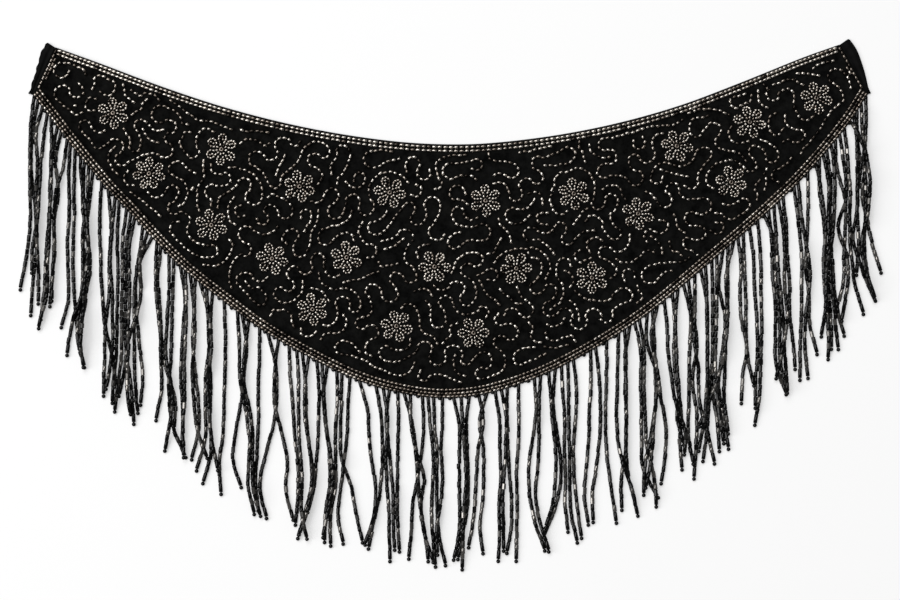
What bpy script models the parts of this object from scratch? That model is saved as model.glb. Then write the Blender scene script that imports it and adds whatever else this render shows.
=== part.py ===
"""A beaded costume belt laid flat: a crescent of cloth with end tabs, edge rows, flowers and a bead fringe.

Units are metres. +X runs along the belt, +Y is its waist edge and +Z points up from the surface it lies on.
The origin is on the underside of the panel, near its middle.
"""

import math
import random

import bmesh
import bpy
import numpy as np

MM = 0.001

CLOTH = 0.0016
TAB_CLOTH = 0.0014
SEAM_GAP = 0.0003
# The end seams slant, so they are wider along X.
TAB_SEAM = 0.00036
FLOOR_GAP = 0.0002

ROW_RADIUS = 0.00085
ROW_PITCH = 0.0020
WAIST_ROW_INSET = 0.0017
LOWER_ROW_INSET = 0.0009
END_ROW_INSET = 0.0011
WAIST_ROWS = 2
LOWER_ROWS = 3
ROW_STEP = 0.012

HEADING_RADIUS = 0.00105
HEADING_STEP = 0.009
STRAND_RADIUS = 0.00095
STRAND_DETAIL = 0.0005
FRINGE_NODES = 10
PARTING_WINDOW = 4
PARTING_LEAN = 0.22

PETAL_CENTRE = 0.0060
PETAL_RADIUS = 0.0026
PETAL_VALLEY = 0.0044
PETAL_STATIONS = (-0.88, -0.45, 0.0, 0.45, 0.88)
FLOWER_HEIGHT = 0.0013
FLOWER_SHOULDER = 0.88
FLOWER_RISE = 0.0005

PANEL_STATIONS = 40
PANEL_COURSES = 6

# The tables are in millimetres.

# The waist edge of the cloth, from the left end to the right end: x, y.
WAIST_EDGE = (
    (-218.3, 123.4),
    (-194.2, 114.7),
    (-161.2, 102.3),
    (-128.2, 91.3),
    (-95.2, 82.5),
    (-62.2, 75.9),
    (-29.2, 71.5),
    (0.0, 70.1),
    (25.9, 71.3),
    (58.9, 75.5),
    (91.9, 82.2),
    (124.9, 91.6),
    (157.9, 104.0),
    (190.9, 117.3),
    (212.2, 124.9),
)

# The finished lower edge, outside the fringe heading: x, y.
LOWER_EDGE = (
    (-231.8, 96.8),
    (-212.3, 71.0),
    (-193.9, 48.1),
    (-179.9, 33.2),
    (-165.0, 16.8),
    (-149.0, 0.6),
    (-128.2, -16.0),
    (-107.3, -31.6),
    (-85.3, -44.8),
    (-55.0, -59.8),
    (-28.0, -67.9),
    (-1.6, -70.5),
    (25.9, -66.3),
    (61.5, -52.4),
    (103.4, -27.2),
    (145.7, 7.5),
    (175.5, 33.6),
    (196.6, 54.5),
    (217.6, 79.8),
    (229.0, 97.3),
)

# Outer edges of the end tabs, from the waist edge down: x, y. The left one is puckered.
LEFT_TAB_EDGE = (
    (-222.6, 126.0),
    (-224.4, 124.6),
    (-226.5, 120.2),
    (-227.8, 116.0),
    (-229.0, 111.0),
    (-230.8, 105.8),
    (-231.6, 102.6),
    (-233.4, 99.2),
)
RIGHT_TAB_EDGE = (
    (217.0, 128.0),
    (218.5, 127.1),
    (222.4, 121.0),
    (225.9, 111.0),
    (228.1, 102.3),
    (229.7, 99.3),
)

# Flowers on the panel: x, y, petals, turn in degrees.
FLOWERS = (
    (-186.6, 87.2, 6, 35),
    (-127.1, 67.3, 6, 25),
    (-166.8, 53.9, 7, 88),
    (-132.6, 25.6, 6, 40),
    (-84.2, 46.8, 6, 40),
    (-34.7, 43.5, 6, 50),
    (-58.4, 7.9, 6, 37),
    (-99.3, 7.2, 6, 45),
    (-77.1, -20.6, 6, 37),
    (-31.0, -29.8, 6, 45),
    (-10.1, 2.8, 6, 0),
    (17.9, 39.1, 6, 32),
    (66.3, 43.0, 6, 38),
    (34.7, 1.9, 6, 2),
    (11.3, -33.5, 6, 0),
    (76.3, -3.3, 6, 30),
    (101.6, 31.9, 6, 40),
    (122.9, 69.1, 6, 50),
    (152.7, 49.2, 6, 47),
    (162.9, 82.3, 6, 46),
    (199.4, 95.4, 6, 46),
)

# Strands of the fringe, left to right: x of the root, length, and how far aside of its root the strand
# lies at each sixth of its length.
STRANDS = (
    (-230.0, 106.0, -1.6, -1.9, -1.9, -2.4, -4.4, -8.1),
    (-228.0, 117.5, -3.2, -3.6, -1.5, -0.6, -2.7, -4.0),
    (-225.6, 91.0, -3.3, -2.5, -3.2, -2.2, -4.8, -5.3),
    (-222.9, 104.3, -2.5, -3.5, -4.0, -5.0, -4.7, -5.0),
    (-220.8, 110.2, 0.4, -0.5, -1.1, -2.7, -3.5, -5.7),
    (-217.4, 110.5, -2.3, -3.0, -3.3, -4.8, -5.4, -10.4),
    (-215.3, 95.7, -3.2, -1.4, -3.7, -3.6, -4.8, -6.3),
    (-212.0, 88.4, -2.1, -5.7, -6.9, -6.5, -7.5, -8.0),
    (-210.1, 100.5, -1.0, -0.4, -1.5, -1.5, -1.0, -5.3),
    (-207.6, 108.9, -0.6, -0.5, -1.2, -0.8, 0.4, 2.3),
    (-204.5, 103.1, 1.5, 4.8, 4.6, 3.0, 2.1, 1.0),
    (-202.4, 112.5, -0.7, 1.5, 3.1, 0.9, -1.6, -0.2),
    (-200.1, 103.1, -0.2, -2.8, -2.7, -3.5, -9.0, -12.3),
    (-197.9, 107.1, -1.9, -5.0, -4.5, -6.6, -8.0, -4.5),
    (-193.0, 116.2, -1.1, -0.6, 0.1, 2.3, 6.2, 9.9),
    (-189.4, 112.9, 1.6, 0.6, 0.6, -1.7, -2.1, -2.6),
    (-185.6, 105.0, -1.3, -2.3, -1.2, -0.9, -1.5, -4.8),
    (-183.4, 110.4, -0.9, 0.0, -0.5, -1.4, -1.6, -3.3),
    (-179.4, 111.1, -2.0, -1.8, -2.3, -2.3, -3.8, -6.6),
    (-177.0, 115.3, -2.5, -2.5, -3.2, -2.4, 0.7, 1.7),
    (-174.9, 107.4, -2.8, -2.4, -2.7, -2.7, -3.7, -1.8),
    (-170.5, 102.0, -1.8, -4.1, -4.2, -4.6, -4.1, -2.5),
    (-167.9, 89.8, -3.4, -3.3, -5.1, -10.2, -12.2, -15.8),
    (-165.4, 92.0, -7.6, -9.0, -8.1, -6.6, -5.0, -6.4),
    (-162.6, 97.5, -0.3, 0.4, 2.1, 2.5, 2.4, -0.9),
    (-160.5, 100.1, -1.7, -0.4, 0.4, 2.9, 7.9, 7.2),
    (-156.0, 107.2, 0.3, -1.0, -1.5, 2.0, 1.4, -2.4),
    (-153.4, 108.2, -0.6, -1.1, -1.5, -2.6, -0.6, 6.6),
    (-149.7, 95.7, 2.6, 1.6, 0.7, 0.2, 1.3, 0.9),
    (-146.9, 102.0, 0.8, 0.4, -0.5, -0.2, -1.2, -0.7),
    (-144.3, 101.2, 1.9, 1.3, 2.5, 4.3, 4.6, 0.4),
    (-141.5, 97.9, -0.2, -0.2, -1.4, -0.7, 1.2, 6.8),
    (-138.7, 102.8, 4.7, 4.8, 2.8, 2.6, 2.6, -2.6),
    (-135.2, 107.0, 1.0, 1.7, 2.1, 1.7, 2.3, -2.3),
    (-132.0, 97.2, -0.6, -0.2, -2.7, -1.5, -0.2, 3.3),
    (-125.7, 105.6, 0.7, 0.6, -0.1, -0.4, -2.7, -1.7),
    (-118.4, 110.9, 1.2, 2.0, 5.0, 7.1, 6.2, 9.5),
    (-115.7, 94.2, 2.3, 0.8, -0.7, -3.5, -5.3, -0.5),
    (-112.1, 107.2, -2.2, -2.3, 1.3, 2.3, 2.3, 6.5),
    (-106.2, 100.2, -0.2, -0.7, -0.7, -1.4, -2.2, -0.7),
    (-101.6, 101.4, 4.2, 4.8, 2.8, -1.8, -4.6, -0.5),
    (-95.9, 98.5, -1.8, -2.0, 1.4, 4.9, 4.0, 8.3),
    (-90.0, 98.1, 0.6, 2.1, 3.1, 4.9, 4.9, 3.3),
    (-85.8, 103.2, 0.9, 1.0, 1.6, 3.0, 2.6, 5.8),
    (-82.7, 101.5, 1.7, 2.1, 3.8, 6.2, 2.1, -2.7),
    (-79.3, 97.3, -1.9, -1.8, 0.6, 2.1, 0.3, -5.1),
    (-74.8, 83.0, 1.2, 1.1, 0.7, -0.3, -1.5, -5.1),
    (-71.9, 95.0, 1.3, 1.9, 4.7, 5.9, 3.6, 0.3),
    (-69.1, 96.5, -2.1, -0.5, 1.0, 1.5, -1.0, -1.5),
    (-63.8, 95.9, 0.4, -0.7, -0.7, -0.9, -3.6, -3.4),
    (-61.0, 92.8, -0.4, -0.8, -0.2, 5.1, 8.0, 11.5),
    (-56.6, 91.5, -1.0, -1.5, -3.1, -5.1, -6.6, -3.4),
    (-51.3, 89.7, 4.3, 5.2, 6.8, 8.9, 7.7, 2.5),
    (-42.2, 89.0, 2.7, 3.3, 3.3, 1.8, -1.3, -4.3),
    (-38.2, 94.7, 2.3, 1.6, 1.6, 2.8, 3.2, 3.6),
    (-34.9, 87.6, -1.8, -0.5, 0.9, 2.1, 2.2, 2.9),
    (-30.3, 87.5, 0.5, -0.0, -0.2, -0.3, -0.0, 1.0),
    (-26.7, 92.1, 4.2, 6.4, 11.0, 9.0, 11.4, 13.2),
    (-23.4, 91.6, 0.5, 2.9, 4.1, 5.5, 7.8, 13.0),
    (-16.8, 89.1, 0.7, -0.4, -2.7, -5.4, -6.1, -7.7),
    (-13.7, 93.1, 1.3, 3.0, 2.5, 1.9, 2.7, 4.1),
    (-10.6, 92.1, 0.5, 1.9, 1.7, 1.8, 3.1, 6.8),
    (-5.8, 85.9, -0.1, -0.7, 0.1, -1.0, -3.3, -2.6),
    (0.4, 88.8, 3.2, 3.0, 3.1, 3.4, 3.0, -0.1),
    (4.5, 94.5, 0.9, 2.1, 2.6, 1.3, 1.0, 0.5),
    (8.9, 89.3, -1.6, -1.0, -0.6, -0.9, -3.5, -6.2),
    (14.2, 83.6, 2.5, -0.2, -1.3, -2.0, -3.3, -5.9),
    (18.5, 87.7, -3.9, -1.8, -1.6, -2.1, -3.8, -1.9),
    (23.2, 93.0, 2.3, 2.5, 3.1, 2.1, 2.5, 1.6),
    (26.6, 88.2, 2.7, 2.3, 1.7, 0.6, 1.1, 1.2),
    (29.8, 90.6, -0.1, 0.3, 1.1, 2.3, 2.2, -0.3),
    (36.0, 97.0, 0.1, -0.0, -1.2, -0.6, -1.0, -1.3),
    (44.7, 94.5, 1.0, -0.7, -3.0, -2.7, 0.3, 6.2),
    (48.1, 96.2, -0.9, -0.9, -1.3, -2.8, -0.3, 5.0),
    (52.6, 84.9, 1.2, 2.3, 3.7, 3.8, 2.3, -2.0),
    (56.2, 91.7, -1.3, 0.1, 2.5, 3.0, -0.3, -6.7),
    (59.6, 90.8, 0.8, 1.9, 1.6, 2.3, 1.9, 3.7),
    (63.1, 98.5, 0.4, 0.5, 0.8, 1.1, 1.8, 5.4),
    (66.2, 97.6, 1.7, 1.1, -0.1, 0.5, 2.2, 4.5),
    (75.6, 95.4, 0.3, -0.7, -1.0, -2.4, -3.4, -1.1),
    (78.4, 95.6, 1.9, 2.7, 2.3, 0.5, -1.8, -1.3),
    (84.4, 99.6, -0.0, -0.5, -0.6, 0.6, 3.0, 5.4),
    (91.0, 99.8, -0.6, -0.8, -1.0, 1.0, 6.6, 10.6),
    (94.3, 98.8, 0.8, 0.3, 1.0, 0.4, -1.9, -1.5),
    (97.0, 97.1, -2.7, -2.1, -2.1, -2.2, -1.0, 3.4),
    (99.9, 95.7, 3.3, 3.2, 3.6, 3.7, 4.5, 12.9),
    (102.5, 102.5, 2.3, 2.2, 2.9, 3.8, 7.8, 9.2),
    (106.7, 95.0, -0.4, 4.9, 4.4, 2.9, 2.0, -1.2),
    (109.6, 101.4, 1.0, 1.4, 1.8, -0.9, -4.4, -4.8),
    (112.1, 97.0, -3.5, -0.8, 1.5, 4.9, 4.5, 2.2),
    (116.1, 84.2, 1.6, 2.0, 4.0, 5.9, 10.9, 10.8),
    (120.6, 96.3, 1.2, 0.8, 2.1, 4.7, 4.0, 5.3),
    (123.5, 84.9, -1.5, -1.3, -0.5, 0.5, -0.5, 3.4),
    (126.7, 98.1, 3.7, 3.4, 2.9, 2.8, 2.5, 5.3),
    (129.3, 108.6, 2.7, 4.8, 2.2, 4.6, 4.2, 3.0),
    (132.9, 103.4, -0.3, -0.7, 1.8, 2.4, 6.8, 11.1),
    (136.2, 104.9, 3.3, 3.6, 3.5, 4.5, 3.4, 1.1),
    (138.7, 101.3, 0.4, 0.6, 0.8, 0.1, -1.3, -4.0),
    (142.2, 104.6, 0.5, 0.5, 0.3, 0.1, 2.9, 4.2),
    (144.9, 102.5, -0.2, -0.4, -1.0, -0.7, 1.1, 3.8),
    (148.2, 108.4, -2.3, 1.4, -0.2, -2.4, 0.2, 3.4),
    (151.1, 102.3, -0.3, -0.2, -1.8, -1.8, -2.2, -0.1),
    (154.0, 100.9, -4.2, -3.9, -4.4, -6.9, -12.7, -19.3),
    (156.6, 90.5, 1.5, 1.0, 1.8, 4.3, 2.5, 1.8),
    (159.5, 83.2, 0.4, 1.0, 1.4, 1.5, 2.8, 5.6),
    (163.0, 98.6, 2.2, 2.7, 3.8, 4.4, 3.3, 3.1),
    (167.4, 111.9, 1.5, 1.9, 2.1, 1.4, 0.8, -1.6),
    (171.0, 96.0, 5.8, 5.6, 7.4, 8.5, 8.6, 12.4),
    (173.4, 100.5, 1.8, 2.0, 3.7, 3.7, 4.0, 10.2),
    (176.5, 102.4, 0.3, 1.4, 3.1, 5.0, 5.8, 6.5),
    (178.9, 96.8, 2.4, 3.1, 2.8, 3.7, 1.4, -1.7),
    (181.4, 94.1, 1.6, 2.3, 3.5, 3.4, 5.3, 6.7),
    (187.4, 105.9, 2.2, 4.1, 4.1, 4.0, 3.3, 3.2),
    (189.6, 107.1, 1.4, 4.3, 6.1, 3.9, 3.6, 5.5),
    (194.9, 99.6, 0.2, -0.2, -1.6, 0.6, 1.1, 5.5),
    (199.2, 107.1, 3.0, 5.0, 4.0, 5.0, 6.6, 6.9),
    (201.3, 103.9, 0.1, 2.5, 3.6, 4.4, 6.2, 6.6),
    (203.4, 106.5, 2.8, 2.0, 3.1, 4.0, 6.0, 8.4),
    (205.4, 101.5, 2.1, 2.0, 2.3, 3.5, 4.9, 9.9),
    (207.8, 104.8, 1.7, 1.3, -1.1, -3.5, -3.8, -5.6),
    (210.1, 94.3, 0.8, 5.4, 5.4, 4.7, 4.2, -0.3),
    (212.5, 102.0, 2.6, 3.1, -1.0, 4.0, 3.8, 0.3),
    (215.1, 101.6, 1.5, 2.4, 2.5, 2.8, 5.5, 10.8),
    (218.2, 97.6, 7.4, 9.8, 8.9, 6.0, 7.5, 13.5),
    (220.1, 101.1, 1.5, 1.6, 1.4, -0.5, 4.6, 12.0),
    (222.0, 89.8, 0.0, 1.9, 0.2, 0.3, 0.8, -0.5),
    (224.3, 92.3, 0.7, 3.0, 0.2, 2.8, 6.1, 11.1),
    (226.8, 104.0, -0.4, -1.6, -0.6, -0.8, -0.6, 1.8),
)

FRINGE_SEED = 7
STRAND_LIFT = 0.0026
STRAND_BASE = FLOOR_GAP + STRAND_RADIUS
LEVEL = 0.002
LIFT_SLOPE = 0.45

CLOTH_BLACK = (0.012, 0.012, 0.013, 1.0)
TAB_BLACK = (0.016, 0.016, 0.017, 1.0)
SILVER_BEAD = (0.52, 0.47, 0.41, 1.0)
BLACK_BEAD = (0.035, 0.035, 0.037, 1.0)


def smooth_line(points, per_span=24):
    """A dense line on a smooth curve through the points."""
    p = np.array(points, float) * MM
    before = np.vstack([2 * p[0] - p[1], p[:-1]])
    after = np.vstack([p[1:], 2 * p[-1] - p[-2]])
    slope = (after - before) / 2
    t = np.linspace(0, 1, per_span, endpoint=False)[:, None]
    h00, h10 = 2 * t**3 - 3 * t**2 + 1, t**3 - 2 * t**2 + t
    h01, h11 = -2 * t**3 + 3 * t**2, t**3 - t**2
    spans = [
        h00 * p[i] + h10 * slope[i] + h01 * p[i + 1] + h11 * slope[i + 1]
        for i in range(len(p) - 1)
    ]
    return np.vstack(spans + [p[-1:]])


def lengths(line):
    """The distance along a line at each of its points."""
    return np.concatenate([[0.0], np.cumsum(np.linalg.norm(np.diff(line, axis=0), axis=1))])


def at_length(line, s):
    """The points of a line at the distances s along it."""
    along = lengths(line)
    return np.column_stack([np.interp(s, along, line[:, k]) for k in range(line.shape[1])])


def moved_in(line, distance):
    """A line moved to its left-hand side, which is inwards for the lower edge drawn left to right."""
    tangent = np.gradient(line, axis=0)
    tangent /= np.linalg.norm(tangent, axis=1)[:, None]
    return line + distance * np.column_stack([-tangent[:, 1], tangent[:, 0]])


def evenly(line, step, start=0.0, end=None):
    """Points about one step apart from start to end along a line."""
    end = lengths(line)[-1] if end is None else end
    return at_length(line, np.linspace(start, end, max(2, round((end - start) / step) + 1)))


WAIST = smooth_line(WAIST_EDGE)
LOWER = smooth_line(LOWER_EDGE)
CLOTH_LOWER = moved_in(LOWER, 2 * HEADING_RADIUS + SEAM_GAP)


def lone_strands():
    """Each strand as it lies: its levels, with x at each, and its exact root and tip heights."""
    heading = moved_in(LOWER, HEADING_RADIUS)
    along = lengths(heading)
    scale = lengths(LOWER)[-1] / along[-1]
    strands = []
    for x, reach, *aside in STRANDS:
        root = np.interp(x * MM, heading[:, 0], along)
        place = at_length(heading, [root])[0]
        length = reach * MM
        course = smooth_line([(reach * k / len(aside), off) for k, off in enumerate([0.0, *aside])])
        top, bottom = place[1], place[1] - length
        levels = np.arange(math.ceil(-top / LEVEL), math.floor(-bottom / LEVEL) + 1)
        x = place[0] + np.interp(top + levels * LEVEL, course[:, 0], course[:, 1])
        strands.append({"root": place, "tip": bottom, "levels": levels, "x": x, "at": root * scale})
    return strands


def laid_out(strands):
    """The x of every strand at every level of the fringe, and where there is a strand."""
    first = min(s["levels"][0] for s in strands)
    last = max(s["levels"][-1] for s in strands)
    x = np.full((len(strands), last - first + 1), np.nan)
    for i, s in enumerate(strands):
        x[i, s["levels"] - first] = s["x"]
    return x, np.isfinite(x), first


def stack(strands, x, held):
    """The height of each strand at each level: where strands cross, one passes over the other."""
    chance = random.Random(FRINGE_SEED + 1)
    order = list(range(len(strands)))
    chance.shuffle(order)
    lean = np.nan_to_num(np.gradient(x, axis=1)) / LEVEL
    z = np.where(held, STRAND_BASE, np.nan)
    laid = []
    for i in order:
        if laid:
            across = (x[laid] - x[i]) / np.sqrt(1 + lean[i] ** 2)
            room = STRAND_LIFT**2 - across**2
            over = np.where(room > 0, z[laid] + np.sqrt(np.maximum(room, 0)), STRAND_BASE)
            z[i] = np.where(held[i], np.maximum(z[i], np.nanmax(np.vstack([over, z[i]]), axis=0)), np.nan)
        inside = np.where(held[i])[0]
        for k in inside[1:]:
            z[i, k] = max(z[i, k], z[i, k - 1] - LIFT_SLOPE * LEVEL)
        for k in inside[-2::-1]:
            z[i, k] = max(z[i, k], z[i, k + 1] - LIFT_SLOPE * LEVEL)
        laid.append(i)
    return z


def strand_lines():
    """The centre line of every strand, from its root to its tip, and its place along the edge."""
    strands = lone_strands()
    x, held, first = laid_out(strands)
    z = stack(strands, x, held)
    lines = []
    for i, s in enumerate(strands):
        here = s["levels"] - first
        body = np.column_stack([x[i, here], -s["levels"] * LEVEL, z[i, here]])
        top = [s["root"][0], s["root"][1], STRAND_BASE]
        tip = [body[-1, 0], s["tip"], body[-1, 2]]
        lines.append((s["at"], np.vstack([top, body[1:], tip])))
    return lines


def few_points(line, detail):
    """The least points of a line that stay within detail of it."""
    if len(line) < 3:
        return line
    chord = line[-1] - line[0]
    along = np.clip((line - line[0]) @ chord / (chord @ chord), 0, 1)
    away = np.linalg.norm(line - line[0] - along[:, None] * chord, axis=1)
    worst = int(np.argmax(away))
    if away[worst] <= detail:
        return line[[0, -1]]
    return np.vstack([few_points(line[: worst + 1], detail)[:-1], few_points(line[worst:], detail)])


def clear_scene():
    for old in list(bpy.data.objects):
        bpy.data.objects.remove(old, do_unlink=True)


def new_collection(name):
    collection = bpy.data.collections.new(name)
    bpy.context.scene.collection.children.link(collection)
    return collection


def new_material(name, colour, roughness, metallic):
    material = bpy.data.materials.new(name)
    material.use_nodes = True
    shader = material.node_tree.nodes["Principled BSDF"]
    shader.inputs["Base Color"].default_value = colour
    shader.inputs["Roughness"].default_value = roughness
    shader.inputs["Metallic"].default_value = metallic
    return material


def place(name, data, material, collection):
    thing = bpy.data.objects.new(name, data)
    thing.data.materials.append(material)
    collection.objects.link(thing)
    return thing


def tube(name, points, radius, resolution, material, collection):
    """A capped tube of that radius along the points."""
    curve = bpy.data.curves.new(name, "CURVE")
    curve.dimensions = "3D"
    curve.bevel_depth = radius
    curve.bevel_resolution = resolution
    curve.use_fill_caps = True
    spline = curve.splines.new("POLY")
    spline.points.add(len(points) - 1)
    for point, place_of in zip(spline.points, points):
        point.co = (*place_of, 1.0)
    return place(name, curve, material, collection)


def as_mesh(curve_object, collection):
    """The curve's solid as a mesh object with welded caps, in place of the curve."""
    graph = bpy.context.evaluated_depsgraph_get()
    mesh = bpy.data.meshes.new_from_object(curve_object.evaluated_get(graph))
    name, world = curve_object.name, curve_object.matrix_world.copy()
    bpy.data.objects.remove(curve_object, do_unlink=True)
    welded = bmesh.new()
    welded.from_mesh(mesh)
    bmesh.ops.remove_doubles(welded, verts=welded.verts, dist=1e-6)
    welded.to_mesh(mesh)
    welded.free()
    thing = bpy.data.objects.new(name, mesh)
    thing.matrix_world = world
    collection.objects.link(thing)
    return thing


def make_panel(material, collection):
    """The crescent of cloth: a grid laid between its waist edge and its lower edge, thickened upwards."""
    bpy.ops.mesh.primitive_grid_add(x_subdivisions=PANEL_STATIONS, y_subdivisions=PANEL_COURSES, size=1)
    panel = bpy.context.object
    panel.name = panel.data.name = "panel"
    for vertex in panel.data.vertices:
        share, down = vertex.co.x + 0.5, 0.5 - vertex.co.y
        waist = at_length(WAIST, [share * lengths(WAIST)[-1]])[0]
        lower = at_length(CLOTH_LOWER, [share * lengths(CLOTH_LOWER)[-1]])[0]
        vertex.co = (*(waist * (1 - down) + lower * down), 0.0)
    wall = panel.modifiers.new("cloth", "SOLIDIFY")
    wall.thickness = CLOTH
    wall.offset = 1.0
    panel.data.materials.append(material)
    for old in list(panel.users_collection):
        old.objects.unlink(panel)
    collection.objects.link(panel)
    return panel


def make_tab(name, outer, inner_top, inner_bottom, material, collection):
    """A cloth tab between its own outer edge and the end of the panel, a seam's gap away."""
    away = 1 if outer[0][0] > inner_top[0] else -1
    gap = np.array([away * TAB_SEAM, 0.0])
    outer = [(x * MM, y * MM) for x, y in outer]
    outline = [*outer, tuple(inner_bottom + gap), tuple(inner_top + gap)]
    curve = bpy.data.curves.new(name, "CURVE")
    curve.dimensions = "2D"
    curve.fill_mode = "BOTH"
    curve.extrude = TAB_CLOTH / 2
    spline = curve.splines.new("POLY")
    spline.points.add(len(outline) - 1)
    spline.use_cyclic_u = True
    for point, (x, y) in zip(spline.points, outline):
        point.co = (x, y, 0.0, 1.0)
    tab = place(name, curve, material, collection)
    tab.location.z = TAB_CLOTH / 2
    return tab


def lay_row(name, line, start, room, material, collection):
    """One strung row of beads, as a cord on the cloth along the line but for the room left at each end."""
    height = CLOTH + SEAM_GAP + ROW_RADIUS
    points = evenly(line, ROW_STEP, start, lengths(line)[-1] - room)
    tube(name, [(x, y, height) for x, y in points], ROW_RADIUS, 1, material, collection)


def make_rows(material, collection):
    """The strung rows of beads that edge the panel."""
    end_room = END_ROW_INSET + ROW_PITCH
    for number in range(WAIST_ROWS):
        line = moved_in(WAIST, -(WAIST_ROW_INSET + number * ROW_PITCH))
        lay_row(f"waist_row_{number + 1}", line, end_room, end_room, material, collection)
    for number in range(LOWER_ROWS):
        line = moved_in(CLOTH_LOWER, LOWER_ROW_INSET + number * ROW_PITCH)
        lay_row(f"lower_row_{number + 1}", line, 0.0, 0.0, material, collection)
    lower_room = LOWER_ROW_INSET + LOWER_ROWS * ROW_PITCH
    left = moved_in(np.array([WAIST[0], CLOTH_LOWER[0]]), END_ROW_INSET)
    right = moved_in(np.array([CLOTH_LOWER[-1], WAIST[-1]]), END_ROW_INSET)
    lay_row("left_end_row", left, WAIST_ROW_INSET, lower_room, material, collection)
    lay_row("right_end_row", right, lower_room, WAIST_ROW_INSET, material, collection)


def flower_outline(petals):
    """A flower's outline, as angles and reaches: part of a ring of beads for each petal, then a valley."""
    step = 2 * math.pi / petals
    widest = math.asin(PETAL_RADIUS / PETAL_CENTRE)
    outline = []
    for petal in range(petals):
        for station in PETAL_STATIONS:
            off = station * widest
            half_chord = math.sqrt(PETAL_RADIUS**2 - (PETAL_CENTRE * math.sin(off)) ** 2)
            outline.append((petal * step + off, PETAL_CENTRE * math.cos(off) + half_chord))
        outline.append(((petal + 0.5) * step, PETAL_VALLEY))
    return outline


def make_flower(name, x, y, petals, turn, material, collection):
    """A sewn flower of beads as one low rosette with a lobe for each petal."""
    outline = flower_outline(petals)
    rosette = bmesh.new()
    rim = bmesh.ops.create_circle(rosette, cap_ends=True, segments=len(outline), radius=1)["verts"]
    for vertex, (angle, reach) in zip(rim, outline):
        vertex.co = (reach * math.cos(angle), reach * math.sin(angle), 0.0)
    raised = bmesh.ops.extrude_face_region(rosette, geom=rosette.faces[:])["geom"]
    top = [part for part in raised if isinstance(part, bmesh.types.BMVert)]
    for vertex in top:
        vertex.co = (vertex.co.x * FLOWER_SHOULDER, vertex.co.y * FLOWER_SHOULDER, FLOWER_HEIGHT)
    lid = [part for part in raised if isinstance(part, bmesh.types.BMFace)]
    for vertex in bmesh.ops.poke(rosette, faces=lid)["verts"]:
        vertex.co.z += FLOWER_RISE
    bmesh.ops.recalc_face_normals(rosette, faces=rosette.faces)
    mesh = bpy.data.meshes.new(name)
    rosette.to_mesh(mesh)
    rosette.free()
    flower = place(name, mesh, material, collection)
    flower.location = (x * MM, y * MM, CLOTH + SEAM_GAP)
    flower.rotation_euler.z = math.radians(turn)


def split_places(roots):
    """Where the fringe heading is parted: in the widest gap near each even share of the strands."""
    slope = np.gradient(LOWER[:, 1]) / np.gradient(LOWER[:, 0])
    cuts = []
    for number in range(1, FRINGE_NODES):
        near = round(number * len(roots) / FRINGE_NODES)
        window = range(near - PARTING_WINDOW, near + PARTING_WINDOW)
        before = max(window, key=lambda i: roots[i + 1] - roots[i])
        lean = np.interp(roots[before], lengths(LOWER), slope)
        share = 0.5 - PARTING_LEAN * max(-1.0, min(1.0, lean))
        cuts.append(roots[before] + share * (roots[before + 1] - roots[before]))
    return cuts


def make_fringe(material, collection):
    """Strands of beads fused to a round heading that follows the lower edge, in several lengths."""
    lines = strand_lines()
    heading_line = moved_in(LOWER, HEADING_RADIUS)
    whole = lengths(heading_line)[-1]
    scale = whole / lengths(LOWER)[-1]
    cuts = [0.0, *[c * scale for c in split_places([at for at, _ in lines])], whole]
    for number, (start, end) in enumerate(zip(cuts, cuts[1:])):
        name = f"fringe_{number + 1:02d}"
        flat = evenly(heading_line, HEADING_STEP, start + SEAM_GAP / 2, end - SEAM_GAP / 2)
        points = [(x, y, FLOOR_GAP + HEADING_RADIUS) for x, y in flat]
        heading = as_mesh(tube(name, points, HEADING_RADIUS, 1, material, collection), collection)
        mine = [line for at, line in lines if start <= at * scale < end]
        joined = bmesh.new()
        for line in mine:
            few = few_points(line, STRAND_DETAIL)
            strand = as_mesh(tube("strand", few, STRAND_RADIUS, 0, material, collection), collection)
            joined.from_mesh(strand.data)
            bpy.data.objects.remove(strand, do_unlink=True)
        mesh = bpy.data.meshes.new("strands")
        joined.to_mesh(mesh)
        joined.free()
        strands = bpy.data.objects.new("strands", mesh)
        collection.objects.link(strands)
        union = heading.modifiers.new("fuse", "BOOLEAN")
        union.operation = "UNION"
        union.object = strands
        graph = bpy.context.evaluated_depsgraph_get()
        fused = bpy.data.meshes.new_from_object(heading.evaluated_get(graph))
        for spent in (heading, strands):
            bpy.data.objects.remove(spent, do_unlink=True)
        fused.materials.clear()
        place(name, fused, material, collection)


def main():
    clear_scene()
    belt = new_collection("beaded_belt")
    cloth = new_material("panel_cloth", CLOTH_BLACK, 0.9, 0.0)
    tab_cloth = new_material("tab_cloth", TAB_BLACK, 0.8, 0.0)
    silver = new_material("silver_beads", SILVER_BEAD, 0.28, 1.0)
    black = new_material("black_beads", BLACK_BEAD, 0.2, 0.4)
    make_panel(cloth, belt)
    make_tab("left_tab", LEFT_TAB_EDGE, WAIST[0], CLOTH_LOWER[0], tab_cloth, belt)
    make_tab("right_tab", RIGHT_TAB_EDGE, WAIST[-1], CLOTH_LOWER[-1], tab_cloth, belt)
    make_rows(silver, belt)
    for number, (x, y, petals, turn) in enumerate(FLOWERS):
        make_flower(f"flower_{number + 1:02d}", x, y, petals, turn, silver, belt)
    make_fringe(black, belt)


if __name__ == "__main__":
    main()
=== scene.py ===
"""A beaded belt laid flat: napped cloth, strung bead edges, sewn flowers, bead lines and a bead fringe.

Units are metres. +X runs along the belt, +Y is its waist edge and +Z points up from the floor it lies on.
Tables are in millimetres.
"""

import math
import random

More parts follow.
